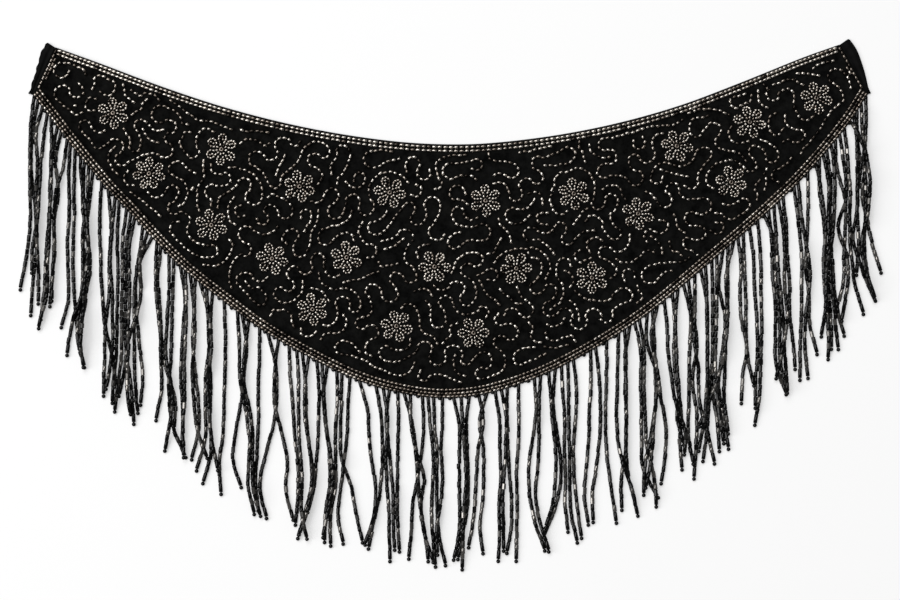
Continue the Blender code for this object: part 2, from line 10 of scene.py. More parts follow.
import bmesh
import bpy
import numpy as np
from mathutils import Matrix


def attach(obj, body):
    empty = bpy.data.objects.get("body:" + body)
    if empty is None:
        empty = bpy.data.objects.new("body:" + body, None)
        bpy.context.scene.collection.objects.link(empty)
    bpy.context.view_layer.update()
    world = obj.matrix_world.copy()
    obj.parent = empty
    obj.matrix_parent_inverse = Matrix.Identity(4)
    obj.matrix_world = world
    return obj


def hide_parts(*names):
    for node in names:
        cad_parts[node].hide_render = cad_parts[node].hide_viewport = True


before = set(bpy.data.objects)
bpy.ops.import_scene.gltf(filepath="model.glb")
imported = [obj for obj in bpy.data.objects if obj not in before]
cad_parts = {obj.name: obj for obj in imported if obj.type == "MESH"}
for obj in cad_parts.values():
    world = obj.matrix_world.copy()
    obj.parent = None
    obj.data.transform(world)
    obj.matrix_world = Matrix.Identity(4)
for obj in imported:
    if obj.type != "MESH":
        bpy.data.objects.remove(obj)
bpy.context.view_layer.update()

bl_info = {
    "name": "Beaded Belt",
    "version": (1, 0, 0),
    "blender": (4, 5, 0),
    "location": "View3D > Sidebar > Beaded Belt",
    "description": "Builds a crescent hip belt with bead edges, bead flowers and a bead fringe",
    "category": "Add Mesh",
}

MM = 0.001
# How thick the cloth is, the gap between tab and panel, and between the cloth's lower edge and the heading.
CLOTH = 0.0016
TAB_CLOTH = 0.0014
TAB_SEAM = 0.00036
SEAM_GAP = 0.0003
# Beads lie this far clear of the floor.
FLOOR_GAP = 0.0002
HEADING_RADIUS = 0.00105
# The velvet reaches out over the heading to this far from the finished edge, under the lowest row of beads.
HEM_INSET = 0.0014
STRAND_RADIUS = 0.00095

# The waist edge of the cloth, from the left end to the right end: x, y.
WAIST_EDGE = (
    (-218.3, 123.4), (-194.2, 114.7), (-161.2, 102.3), (-128.2, 91.3), (-95.2, 82.5),
    (-62.2, 75.9), (-29.2, 71.5), (0.0, 70.1), (25.9, 71.3), (58.9, 75.5),
    (91.9, 82.2), (124.9, 91.6), (157.9, 104.0), (190.9, 117.3), (212.2, 124.9),
)

# The finished lower edge, outside the fringe heading: x, y.
LOWER_EDGE = (
    (-231.8, 96.8), (-212.3, 71.0), (-193.9, 48.1), (-179.9, 33.2), (-165.0, 16.8),
    (-149.0, 0.6), (-128.2, -16.0), (-107.3, -31.6), (-85.3, -44.8), (-55.0, -59.8),
    (-28.0, -67.9), (-1.6, -70.5), (25.9, -66.3), (61.5, -52.4), (103.4, -27.2),
    (145.7, 7.5), (175.5, 33.6), (196.6, 54.5), (217.6, 79.8), (229.0, 97.3),
)

# Outer edges of the end tabs, from the waist edge down: x, y. The left one is puckered.
LEFT_TAB_EDGE = (
    (-222.6, 126.0), (-224.4, 124.6), (-226.5, 120.2), (-227.8, 116.0),
    (-229.0, 111.0), (-230.8, 105.8), (-231.6, 102.6), (-233.4, 99.2),
)
RIGHT_TAB_EDGE = (
    (217.0, 128.0), (218.5, 127.1), (222.4, 121.0), (225.9, 111.0), (228.1, 102.3), (229.7, 99.3),
)

# Flowers on the panel: x, y, petals, turn in degrees.
FLOWERS = (
    (-186.6, 87.2, 6, 35), (-127.1, 67.3, 6, 25), (-166.8, 53.9, 7, 88), (-132.6, 25.6, 6, 40),
    (-84.2, 46.8, 6, 40), (-34.7, 43.5, 6, 50), (-58.4, 7.9, 6, 37), (-99.3, 7.2, 6, 45),
    (-77.1, -20.6, 6, 37), (-31.0, -29.8, 6, 45), (-10.1, 2.8, 6, 0), (17.9, 39.1, 6, 32),
    (66.3, 43.0, 6, 38), (34.7, 1.9, 6, 2), (11.3, -33.5, 6, 0), (76.3, -3.3, 6, 30),
    (101.6, 31.9, 6, 40), (122.9, 69.1, 6, 50), (152.7, 49.2, 6, 47), (162.9, 82.3, 6, 46),
    (199.4, 95.4, 6, 46),
)

# Strands of the fringe, left to right: x of the root, length, and how far aside of its root the strand
# lies at each sixth of its length.
STRANDS = (
    (-230.0, 106.0, -1.6, -1.9, -1.9, -2.4, -4.4, -8.1), (-228.0, 117.5, -3.2, -3.6, -1.5, -0.6, -2.7, -4.0),
    (-225.6, 91.0, -3.3, -2.5, -3.2, -2.2, -4.8, -5.3), (-222.9, 104.3, -2.5, -3.5, -4.0, -5.0, -4.7, -5.0),
    (-220.8, 110.2, 0.4, -0.5, -1.1, -2.7, -3.5, -5.7), (-217.4, 110.5, -2.3, -3.0, -3.3, -4.8, -5.4, -10.4),
    (-215.3, 95.7, -3.2, -1.4, -3.7, -3.6, -4.8, -6.3), (-212.0, 88.4, -2.1, -5.7, -6.9, -6.5, -7.5, -8.0),
    (-210.1, 100.5, -1.0, -0.4, -1.5, -1.5, -1.0, -5.3), (-207.6, 108.9, -0.6, -0.5, -1.2, -0.8, 0.4, 2.3),
    (-204.5, 103.1, 1.5, 4.8, 4.6, 3.0, 2.1, 1.0), (-202.4, 112.5, -0.7, 1.5, 3.1, 0.9, -1.6, -0.2),
    (-200.1, 103.1, -0.2, -2.8, -2.7, -3.5, -9.0, -12.3), (-197.9, 107.1, -1.9, -5.0, -4.5, -6.6, -8.0, -4.5),
    (-193.0, 116.2, -1.1, -0.6, 0.1, 2.3, 6.2, 9.9), (-189.4, 112.9, 1.6, 0.6, 0.6, -1.7, -2.1, -2.6),
    (-185.6, 105.0, -1.3, -2.3, -1.2, -0.9, -1.5, -4.8), (-183.4, 110.4, -0.9, 0.0, -0.5, -1.4, -1.6, -3.3),
    (-179.4, 111.1, -2.0, -1.8, -2.3, -2.3, -3.8, -6.6), (-177.0, 115.3, -2.5, -2.5, -3.2, -2.4, 0.7, 1.7),
    (-174.9, 107.4, -2.8, -2.4, -2.7, -2.7, -3.7, -1.8), (-170.5, 102.0, -1.8, -4.1, -4.2, -4.6, -4.1, -2.5),
    (-167.9, 89.8, -3.4, -3.3, -5.1, -10.2, -12.2, -15.8), (-165.4, 92.0, -7.6, -9.0, -8.1, -6.6, -5.0, -6.4),
    (-162.6, 97.5, -0.3, 0.4, 2.1, 2.5, 2.4, -0.9), (-160.5, 100.1, -1.7, -0.4, 0.4, 2.9, 7.9, 7.2),
    (-156.0, 107.2, 0.3, -1.0, -1.5, 2.0, 1.4, -2.4), (-153.4, 108.2, -0.6, -1.1, -1.5, -2.6, -0.6, 6.6),
    (-149.7, 95.7, 2.6, 1.6, 0.7, 0.2, 1.3, 0.9), (-146.9, 102.0, 0.8, 0.4, -0.5, -0.2, -1.2, -0.7),
    (-144.3, 101.2, 1.9, 1.3, 2.5, 4.3, 4.6, 0.4), (-141.5, 97.9, -0.2, -0.2, -1.4, -0.7, 1.2, 6.8),
    (-138.7, 102.8, 4.7, 4.8, 2.8, 2.6, 2.6, -2.6), (-135.2, 107.0, 1.0, 1.7, 2.1, 1.7, 2.3, -2.3),
    (-132.0, 97.2, -0.6, -0.2, -2.7, -1.5, -0.2, 3.3), (-125.7, 105.6, 0.7, 0.6, -0.1, -0.4, -2.7, -1.7),
    (-118.4, 110.9, 1.2, 2.0, 5.0, 7.1, 6.2, 9.5), (-115.7, 94.2, 2.3, 0.8, -0.7, -3.5, -5.3, -0.5),
    (-112.1, 107.2, -2.2, -2.3, 1.3, 2.3, 2.3, 6.5), (-106.2, 100.2, -0.2, -0.7, -0.7, -1.4, -2.2, -0.7),
    (-101.6, 101.4, 4.2, 4.8, 2.8, -1.8, -4.6, -0.5), (-95.9, 98.5, -1.8, -2.0, 1.4, 4.9, 4.0, 8.3),
    (-90.0, 98.1, 0.6, 2.1, 3.1, 4.9, 4.9, 3.3), (-85.8, 103.2, 0.9, 1.0, 1.6, 3.0, 2.6, 5.8),
    (-82.7, 101.5, 1.7, 2.1, 3.8, 6.2, 2.1, -2.7), (-79.3, 97.3, -1.9, -1.8, 0.6, 2.1, 0.3, -5.1),
    (-74.8, 83.0, 1.2, 1.1, 0.7, -0.3, -1.5, -5.1), (-71.9, 95.0, 1.3, 1.9, 4.7, 5.9, 3.6, 0.3),
    (-69.1, 96.5, -2.1, -0.5, 1.0, 1.5, -1.0, -1.5), (-63.8, 95.9, 0.4, -0.7, -0.7, -0.9, -3.6, -3.4),
    (-61.0, 92.8, -0.4, -0.8, -0.2, 5.1, 8.0, 11.5), (-56.6, 91.5, -1.0, -1.5, -3.1, -5.1, -6.6, -3.4),
    (-51.3, 89.7, 4.3, 5.2, 6.8, 8.9, 7.7, 2.5), (-42.2, 89.0, 2.7, 3.3, 3.3, 1.8, -1.3, -4.3),
    (-38.2, 94.7, 2.3, 1.6, 1.6, 2.8, 3.2, 3.6), (-34.9, 87.6, -1.8, -0.5, 0.9, 2.1, 2.2, 2.9),
    (-30.3, 87.5, 0.5, -0.0, -0.2, -0.3, -0.0, 1.0), (-26.7, 92.1, 4.2, 6.4, 11.0, 9.0, 11.4, 13.2),
    (-23.4, 91.6, 0.5, 2.9, 4.1, 5.5, 7.8, 13.0), (-16.8, 89.1, 0.7, -0.4, -2.7, -5.4, -6.1, -7.7),
    (-13.7, 93.1, 1.3, 3.0, 2.5, 1.9, 2.7, 4.1), (-10.6, 92.1, 0.5, 1.9, 1.7, 1.8, 3.1, 6.8),
    (-5.8, 85.9, -0.1, -0.7, 0.1, -1.0, -3.3, -2.6), (0.4, 88.8, 3.2, 3.0, 3.1, 3.4, 3.0, -0.1),
    (4.5, 94.5, 0.9, 2.1, 2.6, 1.3, 1.0, 0.5), (8.9, 89.3, -1.6, -1.0, -0.6, -0.9, -3.5, -6.2),
    (14.2, 83.6, 2.5, -0.2, -1.3, -2.0, -3.3, -5.9), (18.5, 87.7, -3.9, -1.8, -1.6, -2.1, -3.8, -1.9),
    (23.2, 93.0, 2.3, 2.5, 3.1, 2.1, 2.5, 1.6), (26.6, 88.2, 2.7, 2.3, 1.7, 0.6, 1.1, 1.2),
    (29.8, 90.6, -0.1, 0.3, 1.1, 2.3, 2.2, -0.3), (36.0, 97.0, 0.1, -0.0, -1.2, -0.6, -1.0, -1.3),
    (44.7, 94.5, 1.0, -0.7, -3.0, -2.7, 0.3, 6.2), (48.1, 96.2, -0.9, -0.9, -1.3, -2.8, -0.3, 5.0),
    (52.6, 84.9, 1.2, 2.3, 3.7, 3.8, 2.3, -2.0), (56.2, 91.7, -1.3, 0.1, 2.5, 3.0, -0.3, -6.7),
    (59.6, 90.8, 0.8, 1.9, 1.6, 2.3, 1.9, 3.7), (63.1, 98.5, 0.4, 0.5, 0.8, 1.1, 1.8, 5.4),
    (66.2, 97.6, 1.7, 1.1, -0.1, 0.5, 2.2, 4.5), (75.6, 95.4, 0.3, -0.7, -1.0, -2.4, -3.4, -1.1),
    (78.4, 95.6, 1.9, 2.7, 2.3, 0.5, -1.8, -1.3), (84.4, 99.6, -0.0, -0.5, -0.6, 0.6, 3.0, 5.4),
    (91.0, 99.8, -0.6, -0.8, -1.0, 1.0, 6.6, 10.6), (94.3, 98.8, 0.8, 0.3, 1.0, 0.4, -1.9, -1.5),
    (97.0, 97.1, -2.7, -2.1, -2.1, -2.2, -1.0, 3.4), (99.9, 95.7, 3.3, 3.2, 3.6, 3.7, 4.5, 12.9),
    (102.5, 102.5, 2.3, 2.2, 2.9, 3.8, 7.8, 9.2), (106.7, 95.0, -0.4, 4.9, 4.4, 2.9, 2.0, -1.2),
    (109.6, 101.4, 1.0, 1.4, 1.8, -0.9, -4.4, -4.8), (112.1, 97.0, -3.5, -0.8, 1.5, 4.9, 4.5, 2.2),
    (116.1, 84.2, 1.6, 2.0, 4.0, 5.9, 10.9, 10.8), (120.6, 96.3, 1.2, 0.8, 2.1, 4.7, 4.0, 5.3),
    (123.5, 84.9, -1.5, -1.3, -0.5, 0.5, -0.5, 3.4), (126.7, 98.1, 3.7, 3.4, 2.9, 2.8, 2.5, 5.3),
    (129.3, 108.6, 2.7, 4.8, 2.2, 4.6, 4.2, 3.0), (132.9, 103.4, -0.3, -0.7, 1.8, 2.4, 6.8, 11.1),
    (136.2, 104.9, 3.3, 3.6, 3.5, 4.5, 3.4, 1.1), (138.7, 101.3, 0.4, 0.6, 0.8, 0.1, -1.3, -4.0),
    (142.2, 104.6, 0.5, 0.5, 0.3, 0.1, 2.9, 4.2), (144.9, 102.5, -0.2, -0.4, -1.0, -0.7, 1.1, 3.8),
    (148.2, 108.4, -2.3, 1.4, -0.2, -2.4, 0.2, 3.4), (151.1, 102.3, -0.3, -0.2, -1.8, -1.8, -2.2, -0.1),
    (154.0, 100.9, -4.2, -3.9, -4.4, -6.9, -12.7, -19.3), (156.6, 90.5, 1.5, 1.0, 1.8, 4.3, 2.5, 1.8),
    (159.5, 83.2, 0.4, 1.0, 1.4, 1.5, 2.8, 5.6), (163.0, 98.6, 2.2, 2.7, 3.8, 4.4, 3.3, 3.1),
    (167.4, 111.9, 1.5, 1.9, 2.1, 1.4, 0.8, -1.6), (171.0, 96.0, 5.8, 5.6, 7.4, 8.5, 8.6, 12.4),
    (173.4, 100.5, 1.8, 2.0, 3.7, 3.7, 4.0, 10.2), (176.5, 102.4, 0.3, 1.4, 3.1, 5.0, 5.8, 6.5),
    (178.9, 96.8, 2.4, 3.1, 2.8, 3.7, 1.4, -1.7), (181.4, 94.1, 1.6, 2.3, 3.5, 3.4, 5.3, 6.7),
    (187.4, 105.9, 2.2, 4.1, 4.1, 4.0, 3.3, 3.2), (189.6, 107.1, 1.4, 4.3, 6.1, 3.9, 3.6, 5.5),
    (194.9, 99.6, 0.2, -0.2, -1.6, 0.6, 1.1, 5.5), (199.2, 107.1, 3.0, 5.0, 4.0, 5.0, 6.6, 6.9),
    (201.3, 103.9, 0.1, 2.5, 3.6, 4.4, 6.2, 6.6), (203.4, 106.5, 2.8, 2.0, 3.1, 4.0, 6.0, 8.4),
    (205.4, 101.5, 2.1, 2.0, 2.3, 3.5, 4.9, 9.9), (207.8, 104.8, 1.7, 1.3, -1.1, -3.5, -3.8, -5.6),
    (210.1, 94.3, 0.8, 5.4, 5.4, 4.7, 4.2, -0.3), (212.5, 102.0, 2.6, 3.1, -1.0, 4.0, 3.8, 0.3),
    (215.1, 101.6, 1.5, 2.4, 2.5, 2.8, 5.5, 10.8), (218.2, 97.6, 7.4, 9.8, 8.9, 6.0, 7.5, 13.5),
    (220.1, 101.1, 1.5, 1.6, 1.4, -0.5, 4.6, 12.0), (222.0, 89.8, 0.0, 1.9, 0.2, 0.3, 0.8, -0.5),
    (224.3, 92.3, 0.7, 3.0, 0.2, 2.8, 6.1, 11.1), (226.8, 104.0, -0.4, -1.6, -0.6, -0.8, -0.6, 1.8),
)

# The heading is parted in the widest gap within so many strands of each even share, nearer the lower strand.
FRINGE_NODES = 10
PARTING_WINDOW = 4
PARTING_LEAN = 0.22
FRINGE_SEED = 7
# Strands are followed down in levels. Where two cross, their middles are this far apart, and the upper one
# rises and falls no steeper than the slope.
LEVEL = 0.002
STRAND_BASE = FLOOR_GAP + STRAND_RADIUS
STRAND_LIFT = 0.0026
LIFT_SLOPE = 0.45

# Soft creases of the cloth: from x, y to x, y, half-width, height (below 0 a trough).
CREASES = (
    (-76.0, 14.0, -67.5, -12.0, 1.6, -0.45),
    (-73.6, 14.5, -64.8, -11.0, 2.2, 0.30),
    (-150.0, 44.0, -141.0, 12.0, 5.0, 0.20),
    (-120.0, 50.0, -96.0, 28.0, 6.0, -0.16),
    (-46.0, 26.0, -38.0, -8.0, 6.0, 0.18),
    (-12.0, 62.0, 4.0, 22.0, 7.0, -0.14),
    (44.0, 34.0, 58.0, -22.0, 6.0, 0.18),
    (92.0, 62.0, 116.0, 4.0, 6.0, -0.16),
    (138.0, 80.0, 150.0, 26.0, 5.0, 0.18),
    (184.0, 108.0, 176.0, 62.0, 5.0, -0.16),
    (-206.0, 104.0, -196.0, 66.0, 4.0, 0.16),
)


def from_hex(code):
    """An sRGB hex colour as linear values, with full alpha."""
    levels = [int(code[k : k + 2], 16) / 255 for k in (1, 3, 5)]
    return (*(v / 12.92 if v <= 0.04045 else ((v + 0.055) / 1.055) ** 2.4 for v in levels), 1.0)


def colour_setting(name, description, code):
    """A colour in the sidebar."""
    return bpy.props.FloatVectorProperty(
        name=name, description=description, subtype="COLOR", size=4, min=0, max=1, default=from_hex(code))


def length_setting(name, description, default, least, most):
    """A length in the sidebar, in metres."""
    return bpy.props.FloatProperty(
        name=name, description=description, unit="LENGTH", default=default, min=least, max=most)


class ClothSettings(bpy.types.PropertyGroup):
    """The napped cloth of the panel and its end tabs."""

    # The two nap colours are painted sheen and shade: the velvet is coloured lighter where its pile leans
    # towards the light.
    nap_dark: colour_setting("Nap in shade", "Colour of the pile where it leans away", "#060606")
    nap_light: colour_setting(
        "Nap in light", "Colour of the pile where it leans towards the light", "#1c1c1b")
    course: length_setting(
        "Grid step", "Distance between points of the cloth mesh along the belt", 0.0018, 0.0008, 0.01)


class BeadSettings(bpy.types.PropertyGroup):
    """Sizes of the beads that are sewn to the cloth."""

    rim_diameter: length_setting(
        "Rim bead diameter", "Thickness of a bead in the strung edge rows", 0.00148, 0.001, 0.003)
    rim_length: length_setting(
        "Rim bead length", "Length of a bead in the strung edge rows", 0.0022, 0.001, 0.004)
    rim_pitch: length_setting(
        "Rim bead pitch", "Distance from one rim bead to the next", 0.0027, 0.001, 0.006)
    line_diameter: length_setting(
        "Line bead diameter", "Thickness of a bead in the wandering lines", 0.00155, 0.001, 0.003)
    line_length: length_setting(
        "Line bead length", "Length of a bead in the wandering lines", 0.002, 0.001, 0.004)
    petal_diameter: length_setting(
        "Petal bead diameter", "Thickness of a small bead in a flower", 0.00132, 0.0006, 0.002)
    petal_length: length_setting(
        "Petal bead length", "Length of a small bead in a flower", 0.00126, 0.0006, 0.003)
    bugle_diameter: length_setting(
        "Bugle diameter", "Thickness of the cut beads of the fringe", 0.0022, 0.001, 0.003)
    bugle_length: length_setting(
        "Bugle length", "Length of the cut beads of the fringe", 0.0034, 0.001, 0.006)
    seed: bpy.props.IntProperty(
        name="Seed", description="Another seed lays the wandering lines another way", default=11, min=0)


class StageSettings(bpy.types.PropertyGroup):
    """The floor, the lights and the camera."""

    floor: colour_setting("Floor", "Colour of the floor sheet", "#f4f4f4")
    camera_height: length_setting(
        "Camera height", "Height of the camera above the belt", 1.1, 0.3, 5)
    key_power: bpy.props.FloatProperty(
        name="Key light", description="Power of the softbox over the belt", subtype="POWER", default=57.0)
    fill_power: bpy.props.FloatProperty(
        name="Side light", description="Power of the softbox at the left", subtype="POWER", default=69.0)
    sky: bpy.props.FloatProperty(
        name="Room light", description="Strength of the even light from all round", default=0.1, min=0)
    # The floor's glow is painted light: the sheet itself glows, which washes out the shadows round the belt.
    painted_floor_glow: bpy.props.FloatProperty(
        name="Floor glow", description="Light that the lit table gives through the floor",
        default=0.44, min=0)


def smooth_line(points, per_span=24):
    """A dense line on a smooth curve through the points."""
    p = np.array(points, float) * MM
    before = np.vstack([2 * p[0] - p[1], p[:-1]])
    after = np.vstack([p[1:], 2 * p[-1] - p[-2]])
    slope = (after - before) / 2
    t = np.linspace(0, 1, per_span, endpoint=False)[:, None]
    h00, h10 = 2 * t**3 - 3 * t**2 + 1, t**3 - 2 * t**2 + t
    h01, h11 = -2 * t**3 + 3 * t**2, t**3 - t**2
    spans = [
        h00 * p[i] + h10 * slope[i] + h01 * p[i + 1] + h11 * slope[i + 1]
        for i in range(len(p) - 1)
    ]
    return np.vstack(spans + [p[-1:]])


def lengths(line):
    """The distance along a line at each of its points."""
    return np.concatenate([[0.0], np.cumsum(np.linalg.norm(np.diff(line, axis=0), axis=1))])


def at_length(line, s):
    """The points of a line at the distances s along it."""
    along = lengths(line)
    return np.column_stack([np.interp(s, along, line[:, k]) for k in range(line.shape[1])])


def moved_in(line, distance):
    """A line moved to its left-hand side, which is inwards for the lower edge drawn left to right."""
    tangent = np.gradient(line, axis=0)
    tangent /= np.linalg.norm(tangent, axis=1)[:, None]
    return line + distance * np.column_stack([-tangent[:, 1], tangent[:, 0]])


def evenly(line, step):
    """Points about one step apart along a line."""
    whole = lengths(line)[-1]
    return at_length(line, np.linspace(0, whole, max(2, round(whole / step) + 1)))


WAIST = smooth_line(WAIST_EDGE)
LOWER = smooth_line(LOWER_EDGE)
CLOTH_LOWER = moved_in(LOWER, 2 * HEADING_RADIUS + SEAM_GAP)
HEM = moved_in(LOWER, HEM_INSET)


def lone_strands():
    """Each strand as it lies: its levels, with x at each, and its exact root and tip heights."""
    heading = moved_in(LOWER, HEADING_RADIUS)
    along = lengths(heading)
    scale = lengths(LOWER)[-1] / along[-1]
    strands = []
    for x, reach, *aside in STRANDS:
        root = np.interp(x * MM, heading[:, 0], along)
        place = at_length(heading, [root])[0]
        length = reach * MM
        course = smooth_line([(reach * k / len(aside), off) for k, off in enumerate([0.0, *aside])])
        top, bottom = place[1], place[1] - length
        levels = np.arange(math.ceil(-top / LEVEL), math.floor(-bottom / LEVEL) + 1)
        x = place[0] + np.interp(top + levels * LEVEL, course[:, 0], course[:, 1])
        strands.append({"root": place, "tip": bottom, "levels": levels, "x": x, "at": root * scale})
    return strands


def laid_out(strands):
    """The x of every strand at every level of the fringe, and where there is a strand."""
    first = min(s["levels"][0] for s in strands)
    last = max(s["levels"][-1] for s in strands)
    x = np.full((len(strands), last - first + 1), np.nan)
    for i, s in enumerate(strands):
        x[i, s["levels"] - first] = s["x"]
    return x, np.isfinite(x), first


def stack(strands, x, held):
    """The height of each strand at each level: where strands cross, one passes over the other."""
    chance = random.Random(FRINGE_SEED + 1)
    order = list(range(len(strands)))
    chance.shuffle(order)
    lean = np.nan_to_num(np.gradient(x, axis=1)) / LEVEL
    z = np.where(held, STRAND_BASE, np.nan)
    laid = []
    for i in order:
        if laid:
            across = (x[laid] - x[i]) / np.sqrt(1 + lean[i] ** 2)
            room = STRAND_LIFT**2 - across**2
            over = np.where(room > 0, z[laid] + np.sqrt(np.maximum(room, 0)), STRAND_BASE)
            z[i] = np.where(held[i], np.maximum(z[i], np.nanmax(np.vstack([over, z[i]]), axis=0)), np.nan)
        inside = np.where(held[i])[0]
        for run, before in ((inside[1:], -1), (inside[-2::-1], 1)):
            for k in run:
                z[i, k] = max(z[i, k], z[i, k + before] - LIFT_SLOPE * LEVEL)
        laid.append(i)
    return z


def strand_lines():
    """The centre line of every strand, from its root to its tip, and its place along the edge."""
    strands = lone_strands()
    x, held, first = laid_out(strands)
    z = stack(strands, x, held)
    lines = []
    for i, s in enumerate(strands):
        here = s["levels"] - first
        body = np.column_stack([x[i, here], -s["levels"] * LEVEL, z[i, here]])
        top = [s["root"][0], s["root"][1], STRAND_BASE]
        tip = [body[-1, 0], s["tip"], body[-1, 2]]
        lines.append((s["at"], np.vstack([top, body[1:], tip])))
    return lines


def split_places(roots):
    """Where the fringe heading is parted: in the widest gap near each even share of the strands."""
    slope = np.gradient(LOWER[:, 1]) / np.gradient(LOWER[:, 0])
    cuts = []
    for number in range(1, FRINGE_NODES):
        near = round(number * len(roots) / FRINGE_NODES)
        window = range(near - PARTING_WINDOW, near + PARTING_WINDOW)
        before = max(window, key=lambda i: roots[i + 1] - roots[i])
        lean = np.interp(roots[before], lengths(LOWER), slope)
        share = 0.5 - PARTING_LEAN * max(-1.0, min(1.0, lean))
        cuts.append(roots[before] + share * (roots[before + 1] - roots[before]))
    return cuts


def cloth_height(x, y):
    """The height of the panel's face at points in metres, with its creases."""
    rise = np.zeros_like(x)
    for x0, y0, x1, y1, half_width, height in CREASES:
        a, b = np.array([x0, y0]) * MM, np.array([x1, y1]) * MM
        along = np.clip(((x - a[0]) * (b - a)[0] + (y - a[1]) * (b - a)[1]) / ((b - a) @ (b - a)), 0, 1)
        away = np.hypot(x - a[0] - along * (b - a)[0], y - a[1] - along * (b - a)[1])
        # A crease dies out towards both its ends.
        fade = np.sin(np.pi * np.clip(along, 0.02, 0.98)) ** 0.5
        rise += height * MM * fade * np.exp(-((away / (half_width * MM)) ** 2))
    return CLOTH + rise


def add(tree, kind, links=None, values=None, stops=None, **settings):
    """One node, with its settings, its socket values, its colour stops and what is linked into it."""
    node = tree.nodes.new(kind)
    for key, value in settings.items():
        setattr(node, key, value)
    for key, value in (values or {}).items():
        node.inputs[key].default_value = value
    for key, source in (links or {}).items():
        tree.links.new(source, node.inputs[key])
    if stops:
        ramp = node.color_ramp.elements
        while len(ramp) < len(stops):
            ramp.new(0.5)
        for element, (position, shade) in zip(ramp, stops):
            element.position, element.color = position, shade
    return node


def blank_material(name):
    """An empty material with its output, and its node tree."""
    material = bpy.data.materials.new(name)
    material.use_nodes = True
    tree = material.node_tree
    tree.nodes.clear()
    return material, tree


def finish_material(tree, shader):
    """The shader as the material's surface."""
    add(tree, "ShaderNodeOutputMaterial", {"Surface": shader.outputs["BSDF"]})


def brushed_velvet(settings):
    """Black cotton velvet: a short brushed pile that swallows light, faintly blotched where it leans; the
    blotches are painted sheen and shade, lighter where the pile leans towards the light.
    """
    material, tree = blank_material("brushed_velvet")
    spot = add(tree, "ShaderNodeTexCoord").outputs["Object"]
    # Patches of pile that lean one way are about 5 mm across: painted sheen and shade, between the
    # nap-in-shade and nap-in-light colours.
    lean = add(tree, "ShaderNodeTexNoise", {"Vector": spot},
               {"Scale": 190.0, "Detail": 5.0, "Roughness": 0.7})
    painted_nap_sheen = add(tree, "ShaderNodeValToRGB", {"Fac": lean.outputs["Fac"]},
                 stops=((0.34, tuple(settings.nap_dark)), (0.68, tuple(settings.nap_light))))
    # Tufts of pile are 0.2 mm; they are drawn 0.5 mm across so that they show.
    tufts = add(tree, "ShaderNodeTexNoise", {"Vector": spot}, {"Scale": 2000.0, "Detail": 2.0})
    relief = add(tree, "ShaderNodeBump", {"Height": tufts.outputs["Fac"]},
                 {"Strength": 0.5, "Distance": 0.0002})
    shader = add(tree, "ShaderNodeBsdfPrincipled",
                 {"Base Color": painted_nap_sheen.outputs["Color"], "Normal": relief.outputs["Normal"]},
                 {"Roughness": 0.95, "IOR": 1.45, "Specular IOR Level": 0.06,
                  "Sheen Weight": 0.02, "Sheen Roughness": 0.5})
    finish_material(tree, shader)
    return material


def satin_lining(settings):
    """Black polyester satin of the end tabs: finer and a little glossier than the velvet."""
    material, tree = blank_material("satin_tab_cloth")
    spot = add(tree, "ShaderNodeTexCoord").outputs["Object"]
    # Threads are 0.15 mm apart; the weave is drawn at 1.2 mm so that it shows.
    weave = add(tree, "ShaderNodeTexWave", {"Vector": spot},
                {"Scale": 270.0, "Distortion": 1.2, "Detail": 1.0},
                wave_type="BANDS", bands_direction="Y")
    # Its shade clouds over from one 4 mm patch to the next.
    cloud = add(tree, "ShaderNodeTexNoise", {"Vector": spot}, {"Scale": 260.0, "Detail": 3.0})
    shade = add(tree, "ShaderNodeValToRGB", {"Fac": cloud.outputs["Fac"]},
                stops=((0.35, tuple(settings.nap_dark)), (0.7, from_hex("#121212"))))
    relief = add(tree, "ShaderNodeBump", {"Height": weave.outputs["Fac"]},
                 {"Strength": 0.2, "Distance": 0.0001})
    shader = add(tree, "ShaderNodeBsdfPrincipled",
                 {"Base Color": shade.outputs["Color"], "Normal": relief.outputs["Normal"]},
                 {"Roughness": 0.7, "IOR": 1.5, "Specular IOR Level": 0.1, "Sheen Weight": 0.01})
    finish_material(tree, shader)
    return material


def metal_lined_glass():
    """Glass seed beads with a silver-bronze metal coat: bright on top, brown where they turn away."""
    material, tree = blank_material("metal_coated_glass")
    tone = add(tree, "ShaderNodeAttribute", attribute_name="tone", attribute_type="GEOMETRY")
    coat = add(tree, "ShaderNodeValToRGB", {"Fac": tone.outputs["Fac"]},
               stops=((0.0, from_hex("#171514")), (0.3, from_hex("#544d47")), (0.62, from_hex("#a3988d")),
                      (1.0, from_hex("#f7f0e6"))))
    # The coat is worn in specks about 0.4 mm across.
    spot = add(tree, "ShaderNodeTexCoord").outputs["Object"]
    wear = add(tree, "ShaderNodeTexNoise", {"Vector": spot}, {"Scale": 2400.0, "Detail": 2.0})
    gloss = add(tree, "ShaderNodeMapRange", {"Value": wear.outputs["Fac"]},
                {"From Min": 0.3, "From Max": 0.7, "To Min": 0.17, "To Max": 0.3})
    shader = add(tree, "ShaderNodeBsdfPrincipled",
                 {"Base Color": coat.outputs["Color"], "Roughness": gloss.outputs["Result"]},
                 {"Metallic": 1.0})
    finish_material(tree, shader)
    return material


